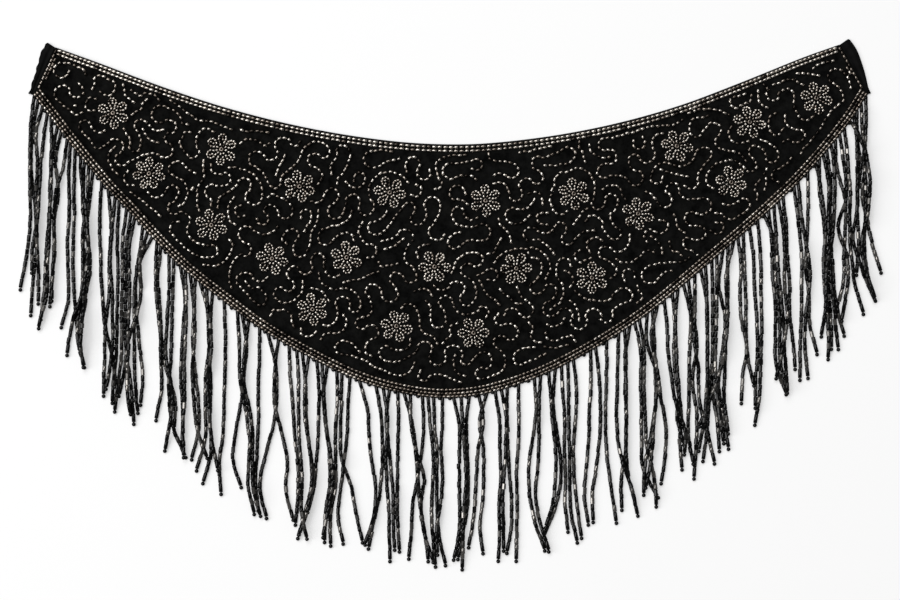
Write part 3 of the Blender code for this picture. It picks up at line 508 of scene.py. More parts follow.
def black_cut_glass():
    """Opaque black bugle glass: near black with sharp glints, and a grey metal lustre on the paler beads."""
    material, tree = blank_material("black_cut_glass")
    tone = add(tree, "ShaderNodeAttribute", attribute_name="tone", attribute_type="GEOMETRY")
    body = add(tree, "ShaderNodeValToRGB", {"Fac": tone.outputs["Fac"]},
               stops=((0.0, from_hex("#010101")), (0.5, from_hex("#060606")), (0.8, from_hex("#6a6865")),
                      (1.0, from_hex("#a8a49f"))))
    lustre = add(tree, "ShaderNodeMapRange", {"Value": tone.outputs["Fac"]},
                 {"From Min": 0.5, "From Max": 1.0, "To Min": 0.0, "To Max": 0.9})
    shader = add(tree, "ShaderNodeBsdfPrincipled",
                 {"Base Color": body.outputs["Color"], "Metallic": lustre.outputs["Result"]},
                 {"Roughness": 0.14, "IOR": 1.52, "Specular IOR Level": 0.42})
    finish_material(tree, shader)
    return material


def white_paper(settings):
    """Matt white background sheet that glows faintly: painted light, which washes the shadows out."""
    material, tree = blank_material("white_paper")
    spot = add(tree, "ShaderNodeTexCoord").outputs["Object"]
    # Paper fibres are finer; the grain is drawn 1 mm across and very shallow.
    fibre = add(tree, "ShaderNodeTexNoise", {"Vector": spot}, {"Scale": 900.0, "Detail": 2.0})
    relief = add(tree, "ShaderNodeBump", {"Height": fibre.outputs["Fac"]},
                 {"Strength": 0.05, "Distance": 0.0001})
    # The emission is painted light, a glow of the sheet that fills in the shadows.
    shader = add(tree, "ShaderNodeBsdfPrincipled", {"Normal": relief.outputs["Normal"]},
                 {"Base Color": tuple(settings.floor), "Roughness": 0.9, "Specular IOR Level": 0.1,
                  "Emission Color": (1, 1, 1, 1), "Emission Strength": settings.painted_floor_glow})
    finish_material(tree, shader)
    return material


def arrays_of(made, soft=lambda normal: True):
    """A finished bmesh as arrays: points, its faces' corners, how many each has, and which are smooth."""
    made.verts.index_update()
    made.normal_update()
    points = np.array([v.co for v in made.verts])
    corners = np.array([v.index for f in made.faces for v in f.verts])
    totals = np.array([len(f.verts) for f in made.faces])
    smooth = np.array([soft(f.normal) for f in made.faces])
    made.free()
    return points, corners, totals, smooth


# A bead is repeated thousands of times, so it has few sides.
SIDES = 8
HEADING_SIDES = 6


def bead(length, diameter, rounding, cut=False, sides=SIDES):
    """One bead with its hole along Z: a short rod with rounded ends, round or cut flat on its sides."""
    made = bmesh.new()
    bmesh.ops.create_cone(made, cap_ends=True, segments=sides, radius1=diameter / 2, radius2=diameter / 2,
                          depth=length)
    rims = [e for e in made.edges if abs(e.verts[0].co.z - e.verts[1].co.z) < length / 10]
    bmesh.ops.bevel(made, geom=rims, offset=rounding * diameter / 2, offset_type="OFFSET", segments=1,
                    profile=0.5, affect="EDGES", material=-1)
    return arrays_of(made, lambda normal: not cut and abs(normal.z) < 0.1)


def ball(diameter):
    """One round bead."""
    made = bmesh.new()
    bmesh.ops.create_uvsphere(made, u_segments=8, v_segments=5, radius=diameter / 2)
    return arrays_of(made)


def ring_bead(diameter, hole, height):
    """A bead that stands on its end, with its open hole up."""
    made = bmesh.new()
    profile = ((hole / 2, 0), (diameter / 2, 0), (diameter / 2, height), (hole / 2, height))
    made_verts = [made.verts.new((r, 0, z)) for r, z in profile]
    edges = [made.edges.new((made_verts[k], made_verts[(k + 1) % 4])) for k in range(4)]
    bmesh.ops.spin(made, geom=made_verts + edges, cent=(0, 0, 0), axis=(0, 0, 1), angle=math.tau,
                   steps=SIDES, use_merge=True)
    bmesh.ops.remove_doubles(made, verts=made.verts, dist=1e-7)
    rims = [e for e in made.edges if abs(e.verts[0].co.z - e.verts[1].co.z) < height / 10
            and abs(e.verts[0].co.xy.length - e.verts[1].co.xy.length) < hole / 10]
    bmesh.ops.bevel(made, geom=rims, offset=0.18 * (diameter - hole) / 2, offset_type="OFFSET", segments=1,
                    profile=0.5, affect="EDGES", material=-1)
    bmesh.ops.recalc_face_normals(made, faces=made.faces)
    return arrays_of(made)


def bead_frames(way, roll):
    """The axes of each bead, the last of them along its hole, rolled about it."""
    way = way / np.linalg.norm(way, axis=1)[:, None]
    away = np.where(np.abs(way[:, 2:]) > 0.9, [[1.0, 0.0, 0.0]], [[0.0, 0.0, 1.0]])
    side = np.cross(away, way)
    side /= np.linalg.norm(side, axis=1)[:, None]
    up = np.cross(way, side)
    c, s = np.cos(roll)[:, None], np.sin(roll)[:, None]
    return np.stack([side * c + up * s, up * c - side * s, way], axis=1)


def batch(shape, at, way, tone, roll=None, size=None):
    """Many beads of one shape, as the arrays of one mesh."""
    points, corners, totals, smooth = shape
    at, way = np.asarray(at, float), np.asarray(way, float)
    count = len(at)
    roll = np.zeros(count) if roll is None else roll
    size = np.ones((count, 3)) if size is None else size
    local = points[None] * size[:, None]
    placed = np.einsum("nvk,nkj->nvj", local, bead_frames(way, roll)) + at[:, None]
    first = np.arange(count)[:, None] * len(points)
    return (placed.reshape(-1, 3), (corners[None] + first).ravel(), np.tile(totals, count),
            np.tile(smooth, count), np.repeat(tone, len(points)))


def joined(name, batches, material):
    """One object made of batches of beads, with each bead's tone as an attribute."""
    points = np.vstack([b[0] for b in batches])
    shift = np.cumsum([0] + [len(b[0]) for b in batches[:-1]])
    corners = np.concatenate([b[1] + s for b, s in zip(batches, shift)])
    totals, smooth, tone_values = (np.concatenate([b[k] for b in batches]) for k in (2, 3, 4))
    mesh = bpy.data.meshes.new(name)
    mesh.vertices.add(len(points))
    mesh.vertices.foreach_set("co", points.ravel())
    mesh.loops.add(len(corners))
    mesh.loops.foreach_set("vertex_index", corners)
    mesh.polygons.add(len(totals))
    mesh.polygons.foreach_set("loop_start", np.concatenate([[0], np.cumsum(totals)[:-1]]))
    mesh.polygons.foreach_set("loop_total", totals)
    mesh.polygons.foreach_set("use_smooth", smooth)
    tone = mesh.attributes.new("tone", "FLOAT", "POINT")
    tone.data.foreach_set("value", tone_values)
    mesh.update(calc_edges=True)
    if mesh.validate():
        raise RuntimeError(f"{name}: its mesh had faults")
    return show(name, mesh, material)


def show(name, mesh, material):
    """A mesh as an object of the scene."""
    thing = bpy.data.objects.new(name, mesh)
    mesh.materials.append(material)
    bpy.context.scene.collection.objects.link(thing)
    return thing


def stand_for(thing, slot, *nodes):
    """The piece rides on the belt and stands for those solids, which are hidden; the slot is not used."""
    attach(thing, "root")
    if nodes:
        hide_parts(*nodes)


# How round the cloth's top edge is, and how steep a fold is still shaded smooth.
EDGE_ROUNDING = 0.00028
SHARP = math.radians(50)


def cloth_shell(name, place_of, across, down, material):
    """A wall of cloth over a flat underside: a grid whose points place_of lays out, thickened downwards."""
    made = bmesh.new()
    bmesh.ops.create_grid(made, x_segments=across, y_segments=down, size=0.5)
    points = np.array([v.co for v in made.verts])
    reach = np.abs(points[:, :2]).max(axis=0)
    share, depth = 0.5 + points[:, 0] / reach[0] / 2, 0.5 - points[:, 1] / reach[1] / 2
    for vertex, place in zip(made.verts, place_of(share, depth)):
        vertex.co = place
    grown = bmesh.ops.extrude_face_region(made, geom=made.faces[:], use_keep_orig=True)["geom"]
    top = {part for part in grown if isinstance(part, bmesh.types.BMVert)}
    for vertex in made.verts:
        if vertex not in top:
            vertex.co.z = 0.0
    bmesh.ops.recalc_face_normals(made, faces=made.faces)
    rim = [e for e in made.edges if all(v in top for v in e.verts)
           and any(abs(f.normal.z) < 0.3 for f in e.link_faces)]
    bmesh.ops.bevel(made, geom=rim, offset=EDGE_ROUNDING, offset_type="OFFSET", segments=2, profile=0.5,
                    affect="EDGES", material=-1)
    mesh = bpy.data.meshes.new(name)
    made.to_mesh(mesh)
    made.free()
    mesh.polygons.foreach_set("use_smooth", np.full(len(mesh.polygons), True))
    mesh.set_sharp_from_angle(angle=SHARP)
    return show(name, mesh, material)


# How far a strung bead strays along its thread, as a share of the pitch.
UNEVEN_PITCH = 0.06
# How fast the brightness drifts from bead to bead, in radians, and how bright a dim bead still is.
DRIFT = (0.12, 0.3)
DIMMED = (0.15, 0.5)


def strung(line, pitch, start, end, chance, closer=0.0):
    """Places and directions of beads strung along a flat line, not quite evenly, and closer at its ends."""
    count = max(2, int((end - start) / pitch))
    t = (np.arange(count) + 0.5) / count
    s = start + (end - start) * (t - closer * np.sin(math.tau * t) / math.tau)
    s = s + np.array([chance.uniform(-UNEVEN_PITCH, UNEVEN_PITCH) for _ in s]) * pitch
    at = at_length(line, s)
    way = at_length(line, s + pitch / 2) - at_length(line, s - pitch / 2)
    return at, np.column_stack([way, np.zeros(len(way))])


def tones(chance, count, middle, spread, dim_share, wander=0.0):
    """How bright each bead is, with a slow change along the string and a share of dim beads."""
    phase, rate = chance.uniform(0, math.tau), chance.uniform(*DRIFT)
    out = []
    for k in range(count):
        tone = middle + chance.gauss(0, spread) + wander * math.sin(phase + rate * k)
        if chance.random() < dim_share:
            tone *= chance.uniform(*DIMMED)
        out.append(min(1.0, max(0.0, tone)))
    return np.array(out)


def rolls(chance, count, most=1.0):
    """How far each bead is turned about its hole, in radians."""
    return np.array([chance.uniform(0, most) for _ in range(count)])


def on_cloth(flat, rise):
    """Points in the plane, raised to lie that far above the panel's face."""
    return np.column_stack([flat, cloth_height(flat[:, 0], flat[:, 1]) + rise])


def unevenness(chance, count, amount):
    """Beads of one size are never quite one size."""
    return np.array([[w, w, l] for w, l in ((1 + chance.uniform(-amount, amount) / 2,
                                            1 + chance.uniform(-amount, amount)) for _ in range(count))])


def tilted(chance, way, degrees):
    """Directions turned a little at random, in the plane and half as far out of it."""
    reach = np.linalg.norm(way, axis=1)[:, None]
    swing = math.tan(math.radians(degrees))
    side = np.column_stack([-way[:, 1], way[:, 0], np.zeros(len(way))])
    a = np.array([[chance.uniform(-swing, swing)] for _ in way])
    b = np.array([[0.0, 0.0, chance.uniform(-swing, swing) / 2] for _ in way])
    return way + side * a + b * reach


# How far in from its edge each strung row lies, and the room that is left for the rows it meets.
WAIST_ROW_INSETS = (0.0016, 0.0037)
LOWER_ROW_INSETS = (0.0022, 0.0039, 0.0059)
END_ROW_INSET = 0.0011
WAIST_ROOM = 0.0021
LOWER_ROOM = 0.0030
TOP_ROOM = 0.0008
# The end columns are doubled for a stretch in the middle: from and to, as shares of their length.
DOUBLED_INSET = 0.00165
LEFT_DOUBLED = (0.18, 0.68)
RIGHT_DOUBLED = (0.42, 0.60)
# Lower rows and end columns are strung closer than the waist rows.
LOWER_CLOSER = 0.85
END_CLOSER = 0.9
# Towards its ends a waist row lies nearer the edge and is strung closer.
NEARER_AT_ENDS = 0.0005
CLOSER_AT_ENDS = 0.1
WAIST_BRIGHT = 0.9
EDGE_BRIGHT = 0.6
RIM_SEED = 21


def rim_lines():
    """Each strung row: its node, its line, the room at its start and end, and how close it is strung."""
    rows = []
    for number, inset in enumerate(WAIST_ROW_INSETS):
        line = moved_in(WAIST, -inset)
        outward = (moved_in(WAIST, 1) - WAIST) * NEARER_AT_ENDS
        line += outward * (np.linspace(-1, 1, len(line))[:, None]) ** 4
        rows.append((f"waist_row_{number + 1}", line, WAIST_ROOM, WAIST_ROOM, 1.0))
    for number, inset in enumerate(LOWER_ROW_INSETS):
        rows.append((f"lower_row_{number + 1}", moved_in(LOWER, inset), 0.0, 0.0, LOWER_CLOSER))
    left = moved_in(np.array([WAIST[0], CLOTH_LOWER[0]]), END_ROW_INSET)
    right = moved_in(np.array([CLOTH_LOWER[-1], WAIST[-1]]), END_ROW_INSET)
    rows.append(("left_end_row", left, TOP_ROOM, LOWER_ROOM, END_CLOSER))
    rows.append(("right_end_row", right, LOWER_ROOM, TOP_ROOM, END_CLOSER))
    for node, line, (start, end) in (("left_end_row", left, LEFT_DOUBLED),
                                     ("right_end_row", right, RIGHT_DOUBLED)):
        whole = lengths(line)[-1]
        rows.append((node, moved_in(line, DOUBLED_INSET), start * whole, (1 - end) * whole, END_CLOSER))
    return rows


# The wandering lines, in millimetres. The grid of cells that keeps the free room, and the room that is kept
# from the edges, the ends, a flower's middle, another line and a lone bead.
CELL = 0.8
FIELD_MARGIN = 4.0
EDGE_STEP = 2.0
KEEP_WAIST, KEEP_LOWER, KEEP_END = 6.3, 7.8, 4.4
FLOWER_ROOM = 10.6
LINE_ROOM = 4.0
LONE_ROOM = 3.0
START_ROOM = 4.4
# How far round it each of them is felt.
EDGE_REACH, FLOWER_REACH, LINE_REACH = 16, 30, 14
BARE, TAKEN, OUTSIDE = 99.0, -1.0, -99.0
# Beads that have come off their line and are sewn alone: x, y, turn in degrees, size.
LONE_BEADS = ((-207.4, 91.3, 0, 1.0), (-143.0, 45.7, 60, 1.35), (41.3, 10.5, 100, 0.8), (134.2, 9.4, 20, 0.8))

# A string loops by these radii and sweeps in degrees, and mostly turns the other way for its next loop.
LINE_PITCH = 2.85
LOOP_RADIUS = (3.1, 4.6)
LOOP_SWEEP = (140, 260)
OTHER_WAY = 0.9
LONGEST = (30, 80)
SHORTEST = 5
WOBBLE = math.radians(5)
# It stops where it would lie nearer to something than this, or has wound itself up.
NEAREST = -0.4
WIND_FADE = 0.95
MOST_WOUND = math.radians(285)
# It tries these turns for its next beads, and takes the one that costs least: by the turn's distance from
# its bend, by how crowded the next beads and the very next one are, and by how far it strays from what is
# already sewn, which it likes to lie beside.
TURNS = np.radians(np.linspace(-54, 54, 19))
LOOK_AHEAD = 3
OWN_TAIL = 4
OFF_BEND, CROWDED, CROWDED_NOW, HUG = 3.0, 1.2, 4.0, 0.12
HUG_REACH = 5
# Strings start at the flowers, and then from bare spots, the best of some ways by the room ahead.
FROM_FLOWER = 2
ROOM_AT_FLOWER = -0.8
WAYS = 8
LOOK_OUT = 6


class Room:
    """How much free room each spot of the cloth has, in millimetres, kept on a grid of cells."""

    def __init__(self):
        waist, lower = WAIST / MM, CLOTH_LOWER / MM
        self.low = np.array([lower[:, 0].min(), lower[:, 1].min()]) - FIELD_MARGIN
        high = np.array([lower[:, 0].max(), waist[:, 1].max()]) + FIELD_MARGIN
        cols, rows = ((high - self.low) / CELL).astype(int) + 1
        self.x = self.low[0] + CELL * np.arange(cols)
        self.y = self.low[1] + CELL * np.arange(rows)
        self.free = np.full((cols, rows), BARE)
        ends = [np.array([waist[k], lower[k]]) for k in (0, -1)]
        for line, keep in zip((waist, lower, *ends), (KEEP_WAIST, KEEP_LOWER, KEEP_END, KEEP_END)):
            for spot in evenly(line, EDGE_STEP):
                self.fill(spot, keep, EDGE_REACH)
        for x, y, *_ in FLOWERS:
            self.fill((x, y), FLOWER_ROOM, FLOWER_REACH)
        for x, y, *_ in LONE_BEADS:
            self.fill((x, y), LONE_ROOM)
        above = np.interp(self.x, waist[:, 0], waist[:, 1])
        below = np.interp(self.x, lower[:, 0], lower[:, 1])
        outside = (self.y[None] > above[:, None]) | (self.y[None] < below[:, None])
        for end, side in ((ends[0], 1), (ends[1], -1)):
            edge = np.interp(self.y, end[::-1, 1], end[::-1, 0])
            outside |= (self.x[:, None] - edge[None]) * side < 0
        self.free[outside] = OUTSIDE

    def fill(self, spot, keep, reach=LINE_REACH):
        """Something now lies at the spot, and other lines keep that far from it."""
        i, j = ((np.asarray(spot) - self.low) / CELL).astype(int)
        n = int(reach / CELL)
        a, b = slice(max(0, i - n), i + n), slice(max(0, j - n), j + n)
        away = np.hypot(self.x[a, None] - spot[0], self.y[None, b] - spot[1]) - keep
        self.free[a, b] = np.minimum(self.free[a, b], away)

    def at(self, spots):
        """The free room at the spots."""
        cell = np.rint((np.asarray(spots) - self.low) / CELL).astype(int)
        cell = np.clip(cell, 0, np.array(self.free.shape) - 1)
        return self.free[cell[..., 0], cell[..., 1]]


def lay_string(room, chance, start, heading):
    """One wandering string of beads: it loops one way, then the other, and turns from what lies ahead."""
    string = [np.array(start, float)]
    left, bend, side, wound = 0.0, 0.0, chance.choice((-1, 1)), 0.0
    longest = chance.randint(*LONGEST)
    while len(string) < longest:
        if left <= 0:
            side = -side if chance.random() < OTHER_WAY else side
            bend = side * LINE_PITCH / chance.uniform(*LOOP_RADIUS)
            left = math.radians(chance.uniform(*LOOP_SWEEP))
        way, spots = heading + TURNS, string[-1]
        free = []
        for _ in range(LOOK_AHEAD):
            spots = spots + LINE_PITCH * np.column_stack([np.cos(way), np.sin(way)])
            free.append(room.at(spots))
            way = way + TURNS
        tight = -np.minimum(0, np.array(free))
        cost = (OFF_BEND * np.abs(TURNS - bend) + CROWDED * tight.sum(axis=0) + CROWDED_NOW * tight[0]
                + HUG * np.clip(free[1], 0, HUG_REACH))
        best = int(np.argmin(cost))
        wound = WIND_FADE * wound + TURNS[best]
        if free[0][best] < NEAREST or abs(wound) > MOST_WOUND:
            break
        heading += TURNS[best] + chance.uniform(-WOBBLE, WOBBLE)
        string.append(string[-1] + LINE_PITCH * np.array([math.cos(heading), math.sin(heading)]))
        left -= abs(bend)
        if len(string) > OWN_TAIL:
            room.fill(string[-OWN_TAIL - 1], LINE_ROOM)
    if len(string) < SHORTEST:
        return None
    for spot in string[-OWN_TAIL - 1 :]:
        room.fill(spot, LINE_ROOM)
    return np.array(string) * MM


def wandering_strings(seed):
    """All the bead lines: some from each flower, then more wherever the cloth is still bare."""
    chance = random.Random(seed)
    room = Room()
    strings = []
    for x, y, petals, turn in FLOWERS:
        for k in chance.sample(range(petals), FROM_FLOWER):
            way = math.radians(turn + (k + 0.5) * 360 / petals)
            start = (x + FLOWER_ROOM * math.cos(way), y + FLOWER_ROOM * math.sin(way))
            if room.at(start) > ROOM_AT_FLOWER:
                strings.append(lay_string(room, chance, start, way))
    while True:
        bare = np.argwhere(room.free > START_ROOM - LINE_ROOM)
        if not len(bare):
            break
        i, j = bare[chance.randrange(len(bare))]
        start = np.array([room.x[i], room.y[j]])
        ways = [chance.uniform(0, math.tau) for _ in range(WAYS)]
        ahead = [room.at(start + LOOK_OUT * np.array([math.cos(w), math.sin(w)])) for w in ways]
        string = lay_string(room, chance, start, ways[int(np.argmax(ahead))])
        if string is None:
            room.free[i, j] = TAKEN
        else:
            strings.append(string)
    return [s for s in strings if s is not None]


# The panel's depth in the middle, and how much longer a mesh step is down the panel than along it.
PANEL_DEPTH = 0.14
DOWN_STEP = 1.6


class BELT_OT_panel_cloth(bpy.types.Operator):
    """Lay the crescent of velvet, with its soft creases"""

    bl_idname = "belt.panel_cloth"
    bl_label = "Panel cloth"

    def execute(self, context):
        settings = context.scene.belt_cloth
        across = round(lengths(WAIST)[-1] / settings.course)
        down = round(PANEL_DEPTH / settings.course / DOWN_STEP)

        def place_of(share, depth):
            waist = at_length(WAIST, share * lengths(WAIST)[-1])
            lower = at_length(HEM, share * lengths(HEM)[-1])
            return on_cloth(waist * (1 - depth)[:, None] + lower * depth[:, None], 0.0)

        panel = cloth_shell("panel_velvet", place_of, across, down, brushed_velvet(settings))
        stand_for(panel, "panel_cloth", "panel")
        return {"FINISHED"}


# The lower ends of the tabs reach down onto the heading, from this share of their depth on.
HEM_DROP = 0.0011
DROP_FROM = 0.75
# The stitches draw the left tab's edge in unevenly. How far, and two waves: weight, length, phase.
PUCKER = 0.0003
PUCKER_WAVES = ((0.5, 0.0047, 0.0), (0.6, 0.0083, 2.2))
# A soft roll and a furrow down each tab: height, place and half-width as shares of its width.
TAB_FOLDS = ((0.00036, 0.6, 0.17), (-0.00022, 0.3, 0.14))
TAB_GRID = (16, 56)


class BELT_OT_end_tabs(bpy.types.Operator):
    """Lay the two plain cloth tabs, the left one puckered by its stitches"""

    bl_idname = "belt.end_tabs"
    bl_label = "End tabs"

    def execute(self, context):
        cloth = satin_lining(context.scene.belt_cloth)
        self.tab("left_tab", LEFT_TAB_EDGE, WAIST[0], CLOTH_LOWER[0], PUCKER, cloth)
        self.tab("right_tab", RIGHT_TAB_EDGE, WAIST[-1], CLOTH_LOWER[-1], 0.0, cloth)
        return {"FINISHED"}

    def tab(self, node, outer, inner_top, inner_bottom, pucker, cloth):
        """One tab, between its seam with the panel and its outer edge."""
        away = 1 if outer[0][0] > inner_top[0] / MM else -1
        seam = np.array([inner_top, inner_bottom]) + (away * TAB_SEAM, 0.0)
        edge = smooth_line(outer)

        def place_of(share, depth):
            inside = at_length(seam, depth * lengths(seam)[-1])
            s = depth * lengths(edge)[-1]
            outside = at_length(edge, s)
            flat = inside + (outside - inside) * share[:, None]
            wave = sum(weight * np.sin(math.tau * s / step + phase) for weight, step, phase in PUCKER_WAVES)
            flat[:, 0] += away * pucker * wave * share**6
            flat[:, 1] -= HEM_DROP * np.clip((depth - DROP_FROM) / (1 - DROP_FROM), 0, 1) ** 2
            rise = sum(high * np.exp(-(((share - place) / wide) ** 2)) for high, place, wide in TAB_FOLDS)
            return np.column_stack([flat, TAB_CLOTH + rise + pucker * wave * share**2])

        tab = cloth_shell(f"{node}_cloth", place_of, *TAB_GRID, cloth)
        stand_for(tab, "tab_cloth", node)


class BELT_OT_rim_beads(bpy.types.Operator):
    """String the rows of beads that edge the panel"""

    bl_idname = "belt.rim_beads"
    bl_label = "Rim beads"

    def execute(self, context):
        sizes = context.scene.belt_beads
        glass = metal_lined_glass()
        shape = bead(sizes.rim_length, sizes.rim_diameter, rounding=0.12)
        chance = random.Random(RIM_SEED)
        groups = {}
        for node, line, start, room, closer in rim_lines():
            bright = WAIST_BRIGHT if node.startswith("waist") else EDGE_BRIGHT
            at, way = strung(line, sizes.rim_pitch * closer, start, lengths(line)[-1] - room, chance,
                             CLOSER_AT_ENDS if closer == 1 else 0.0)
            count = len(at)
            size = unevenness(chance, count, amount=0.14)
            size[:, 2] *= closer
            piece = batch(shape, on_cloth(at, sizes.rim_diameter / 2), tilted(chance, way, degrees=3),
                          tones(chance, count, bright, spread=0.12, dim_share=0.06, wander=0.1),
                          rolls(chance, count), size)
            group = node.rsplit("_row", 1)[0]
            groups.setdefault(group, []).append((node, piece))
        for group, rows in groups.items():
            rim = joined(f"{group}_rim_beads", [piece for _, piece in rows], glass)
            stand_for(rim, "silver_beads", *[node for node, _ in rows])
        return {"FINISHED"}


# The line beads sink a little into the pile: the height of their middle as a share of their diameter.
LINE_SUNK = 0.47
# How far a bead strays from its line.
STRAY = 0.00014
LONE_TONE = 0.9


class BELT_OT_bead_lines(bpy.types.Operator):
    """Sew the single lines of beads that wander between the flowers"""

    bl_idname = "belt.bead_lines"
    bl_label = "Bead lines"

    def execute(self, context):
        sizes = context.scene.belt_beads
        shape = bead(sizes.line_length, sizes.line_diameter, rounding=0.24)
        rise = sizes.line_diameter * LINE_SUNK
        chance = random.Random(sizes.seed)
        batches = []
        for string in wandering_strings(sizes.seed):
            count = len(string)
            way = np.gradient(string, axis=0)
            at = string + np.array([[chance.gauss(0, STRAY), chance.gauss(0, STRAY)] for _ in string])
            way = tilted(chance, np.column_stack([way, np.zeros(count)]), degrees=9)
            tone = tones(chance, count, middle=0.78, spread=0.17, dim_share=0.1, wander=0.16)
            batches.append(batch(shape, on_cloth(at, rise), way, tone, rolls(chance, count),
                                 unevenness(chance, count, amount=0.22)))
        lone = np.array(LONE_BEADS)
        way = np.radians(lone[:, 2])
        batches.append(batch(shape, on_cloth(lone[:, :2] * MM, rise),
                             np.column_stack([np.cos(way), np.sin(way), 0 * way]),
                             np.full(len(lone), LONE_TONE), None, lone[:, 3:] * np.ones(3)))
        lines = joined("bead_lines", batches, metal_lined_glass())
        stand_for(lines, "silver_beads")
        return {"FINISHED"}


# A flower, in millimetres from its middle along and off the axis of each petal: a loop of six beads,
# one bead down each side, two small ones inside, and a ring of beads round the middle.
PETAL_CENTRE = 6.25
PETAL_RADIUS = 2.1
PETAL_ARC = 110
PETAL_OUTER_BEADS = 6
PETAL_SIDE = (4.1, 1.25)
PETAL_INNER = (5.4, 6.8)
HEART_BEADS = 9
HEART_RADIUS = 2.6
# Petals are narrower in a flower that has more than this many, and no two petals or beads are quite alike:
# how far a petal swings, in radians, how far out it reaches, how far a bead strays, and how its width and
# length vary.
PETALS, CROWDING = 6, 0.8
PETAL_SWING = 0.05
PETAL_REACH, REACH_VARIES = 1.02, 0.04
PETAL_STRAY, INNER_STRAY = 0.06, 0.3
WIDTH_VARIES, LENGTH_VARIES = 0.08, 0.12
# A heart bead strays by this share of the way to the next, and is this wide and long.
HEART_STRAY = 0.15
HEART_WIDTH, HEART_LENGTH = 0.86, (0.95, 1.15)
# The standing bead in the middle of a flower, which leans a little.
STUD_DIAMETER, STUD_HOLE, STUD_HEIGHT = 0.0027, 0.001, 0.0015
STUD_WAY = (0.05, 0.03, 1.0)
STUD_TONE = 0.5
FLOWER_SEED = 33


class BELT_OT_flowers(bpy.types.Operator):
    """Sew the flowers: for each petal a loop of small beads with two inside it, round a standing bead"""

    bl_idname = "belt.flowers"
    bl_label = "Flowers"

    def execute(self, context):
        sizes = context.scene.belt_beads
        glass = metal_lined_glass()
        small = bead(sizes.petal_length, sizes.petal_diameter, rounding=0.24)
        centre = ring_bead(STUD_DIAMETER, STUD_HOLE, STUD_HEIGHT)
        chance = random.Random(FLOWER_SEED)
        for number, (x, y, petals, turn) in enumerate(FLOWERS):
            at, way, size = self.petal_beads(chance, petals, math.radians(turn))
            at += (x * MM, y * MM)
            count = len(at)
            petals_made = batch(small, on_cloth(at, sizes.petal_diameter / 2), tilted(chance, way, degrees=7),
                                tones(chance, count, middle=0.88, spread=0.13, dim_share=0.05),
                                rolls(chance, count), size)
            stud = batch(centre, on_cloth(np.array([[x * MM, y * MM]]), 0.0), [STUD_WAY], [STUD_TONE],
                         rolls(chance, 1))
            flower = joined(f"flower_{number + 1:02d}_beads", [petals_made, stud], glass)
            stand_for(flower, "silver_beads", f"flower_{number + 1:02d}")
        return {"FINISHED"}

    def petal_beads(self, chance, petals, turn):
        """Places and directions of the small beads of a flower, about its middle, and their sizes."""
        at, way, size = [], [], []
        squeeze = min(1.0, PETALS / petals) ** CROWDING
        for petal in range(petals):
            lean = turn + petal * math.tau / petals + chance.uniform(-PETAL_SWING, PETAL_SWING)
            reach = PETAL_REACH + chance.uniform(-REACH_VARIES, REACH_VARIES)
            # Each bead: along and off the petal's axis, its direction there, its length and its width.
            beads = []
            for k in range(PETAL_OUTER_BEADS):
                a = math.radians(PETAL_ARC * (2 * k / (PETAL_OUTER_BEADS - 1) - 1))
                beads.append((PETAL_CENTRE + PETAL_RADIUS * math.cos(a), PETAL_RADIUS * math.sin(a),
                              -math.sin(a), math.cos(a), 1.0, 1.0))
            for side in (-1, 1):
                beads.append((PETAL_SIDE[0], side * PETAL_SIDE[1], 1.0, side * 0.4, 1.05, 0.95))
            for u in PETAL_INNER:
                beads.append((u, chance.uniform(-INNER_STRAY, INNER_STRAY), chance.uniform(-1, 1),
                              chance.uniform(-1, 1), 0.85, 0.9))
            c, s = math.cos(lean), math.sin(lean)
            for u, v, du, dv, stretch, width in beads:
                u = u * reach + chance.gauss(0, PETAL_STRAY)
                v = v * squeeze + chance.gauss(0, PETAL_STRAY)
                at.append(((u * c - v * s) * MM, (u * s + v * c) * MM))
                way.append((du * c - dv * s, du * s + dv * c, 0.0))
                width *= 1 + chance.uniform(-WIDTH_VARIES, WIDTH_VARIES)
                size.append((width, width, stretch * (1 + chance.uniform(-LENGTH_VARIES, LENGTH_VARIES))))
        for k in range(HEART_BEADS):
            a = turn + (k + chance.uniform(-HEART_STRAY, HEART_STRAY)) * math.tau / HEART_BEADS
            at.append((HEART_RADIUS * MM * math.cos(a), HEART_RADIUS * MM * math.sin(a)))
            way.append((math.cos(a), math.sin(a), 0.0))
            size.append((HEART_WIDTH, HEART_WIDTH, chance.uniform(*HEART_LENGTH)))
        return np.array(at), np.array(way), np.array(size)


# The heading is a close row of small black beads, mostly under the hem, with a round picot bead
# in each gap between strands.
HEADING_PITCH = 0.0019
HEADING_BEAD = 0.0017
HEADING_INSET = 0.0018
PICOT = 0.0025
PICOT_INSET = 0.00125
PICOT_ROOM = 0.0042
# How high a picot bead's middle lies, as if it were this share of its size: the heading sinks it in.
PICOT_SUNK = 0.92
# Each strand starts with a long smooth bugle that reaches in under the heading, and ends with one and a ball.
ROOT_TUBE = 0.0042
ROOT_REACH = 0.0009
END_TUBE = 0.0052
BALL = 0.0023
# A bugle takes this share of its room on the thread, and the rooms are uneven.
BUGLE_FILL = 0.98
BUGLE_ROOMS = (0.8, 1.15)
BUGLE_UNEVEN = 0.06
BUGLE_STRAY = 0.0001
# The widest and most tilted bugle still clears the floor.
BUGLE_RISE = 0.0002
# Bugles that show flat facets; the others catch the light in one thin line.
CUT_SHARE = 0.35
CUT_TURN = 1.1
# Some strands are paler: their share, the tone of either kind and the share of its bugles that glint.
PALE_SHARE = 0.25
PALE, DARK = (0.45, 0.24), (0.34, 0.08)
GLINTS = (0.8, 1.0)


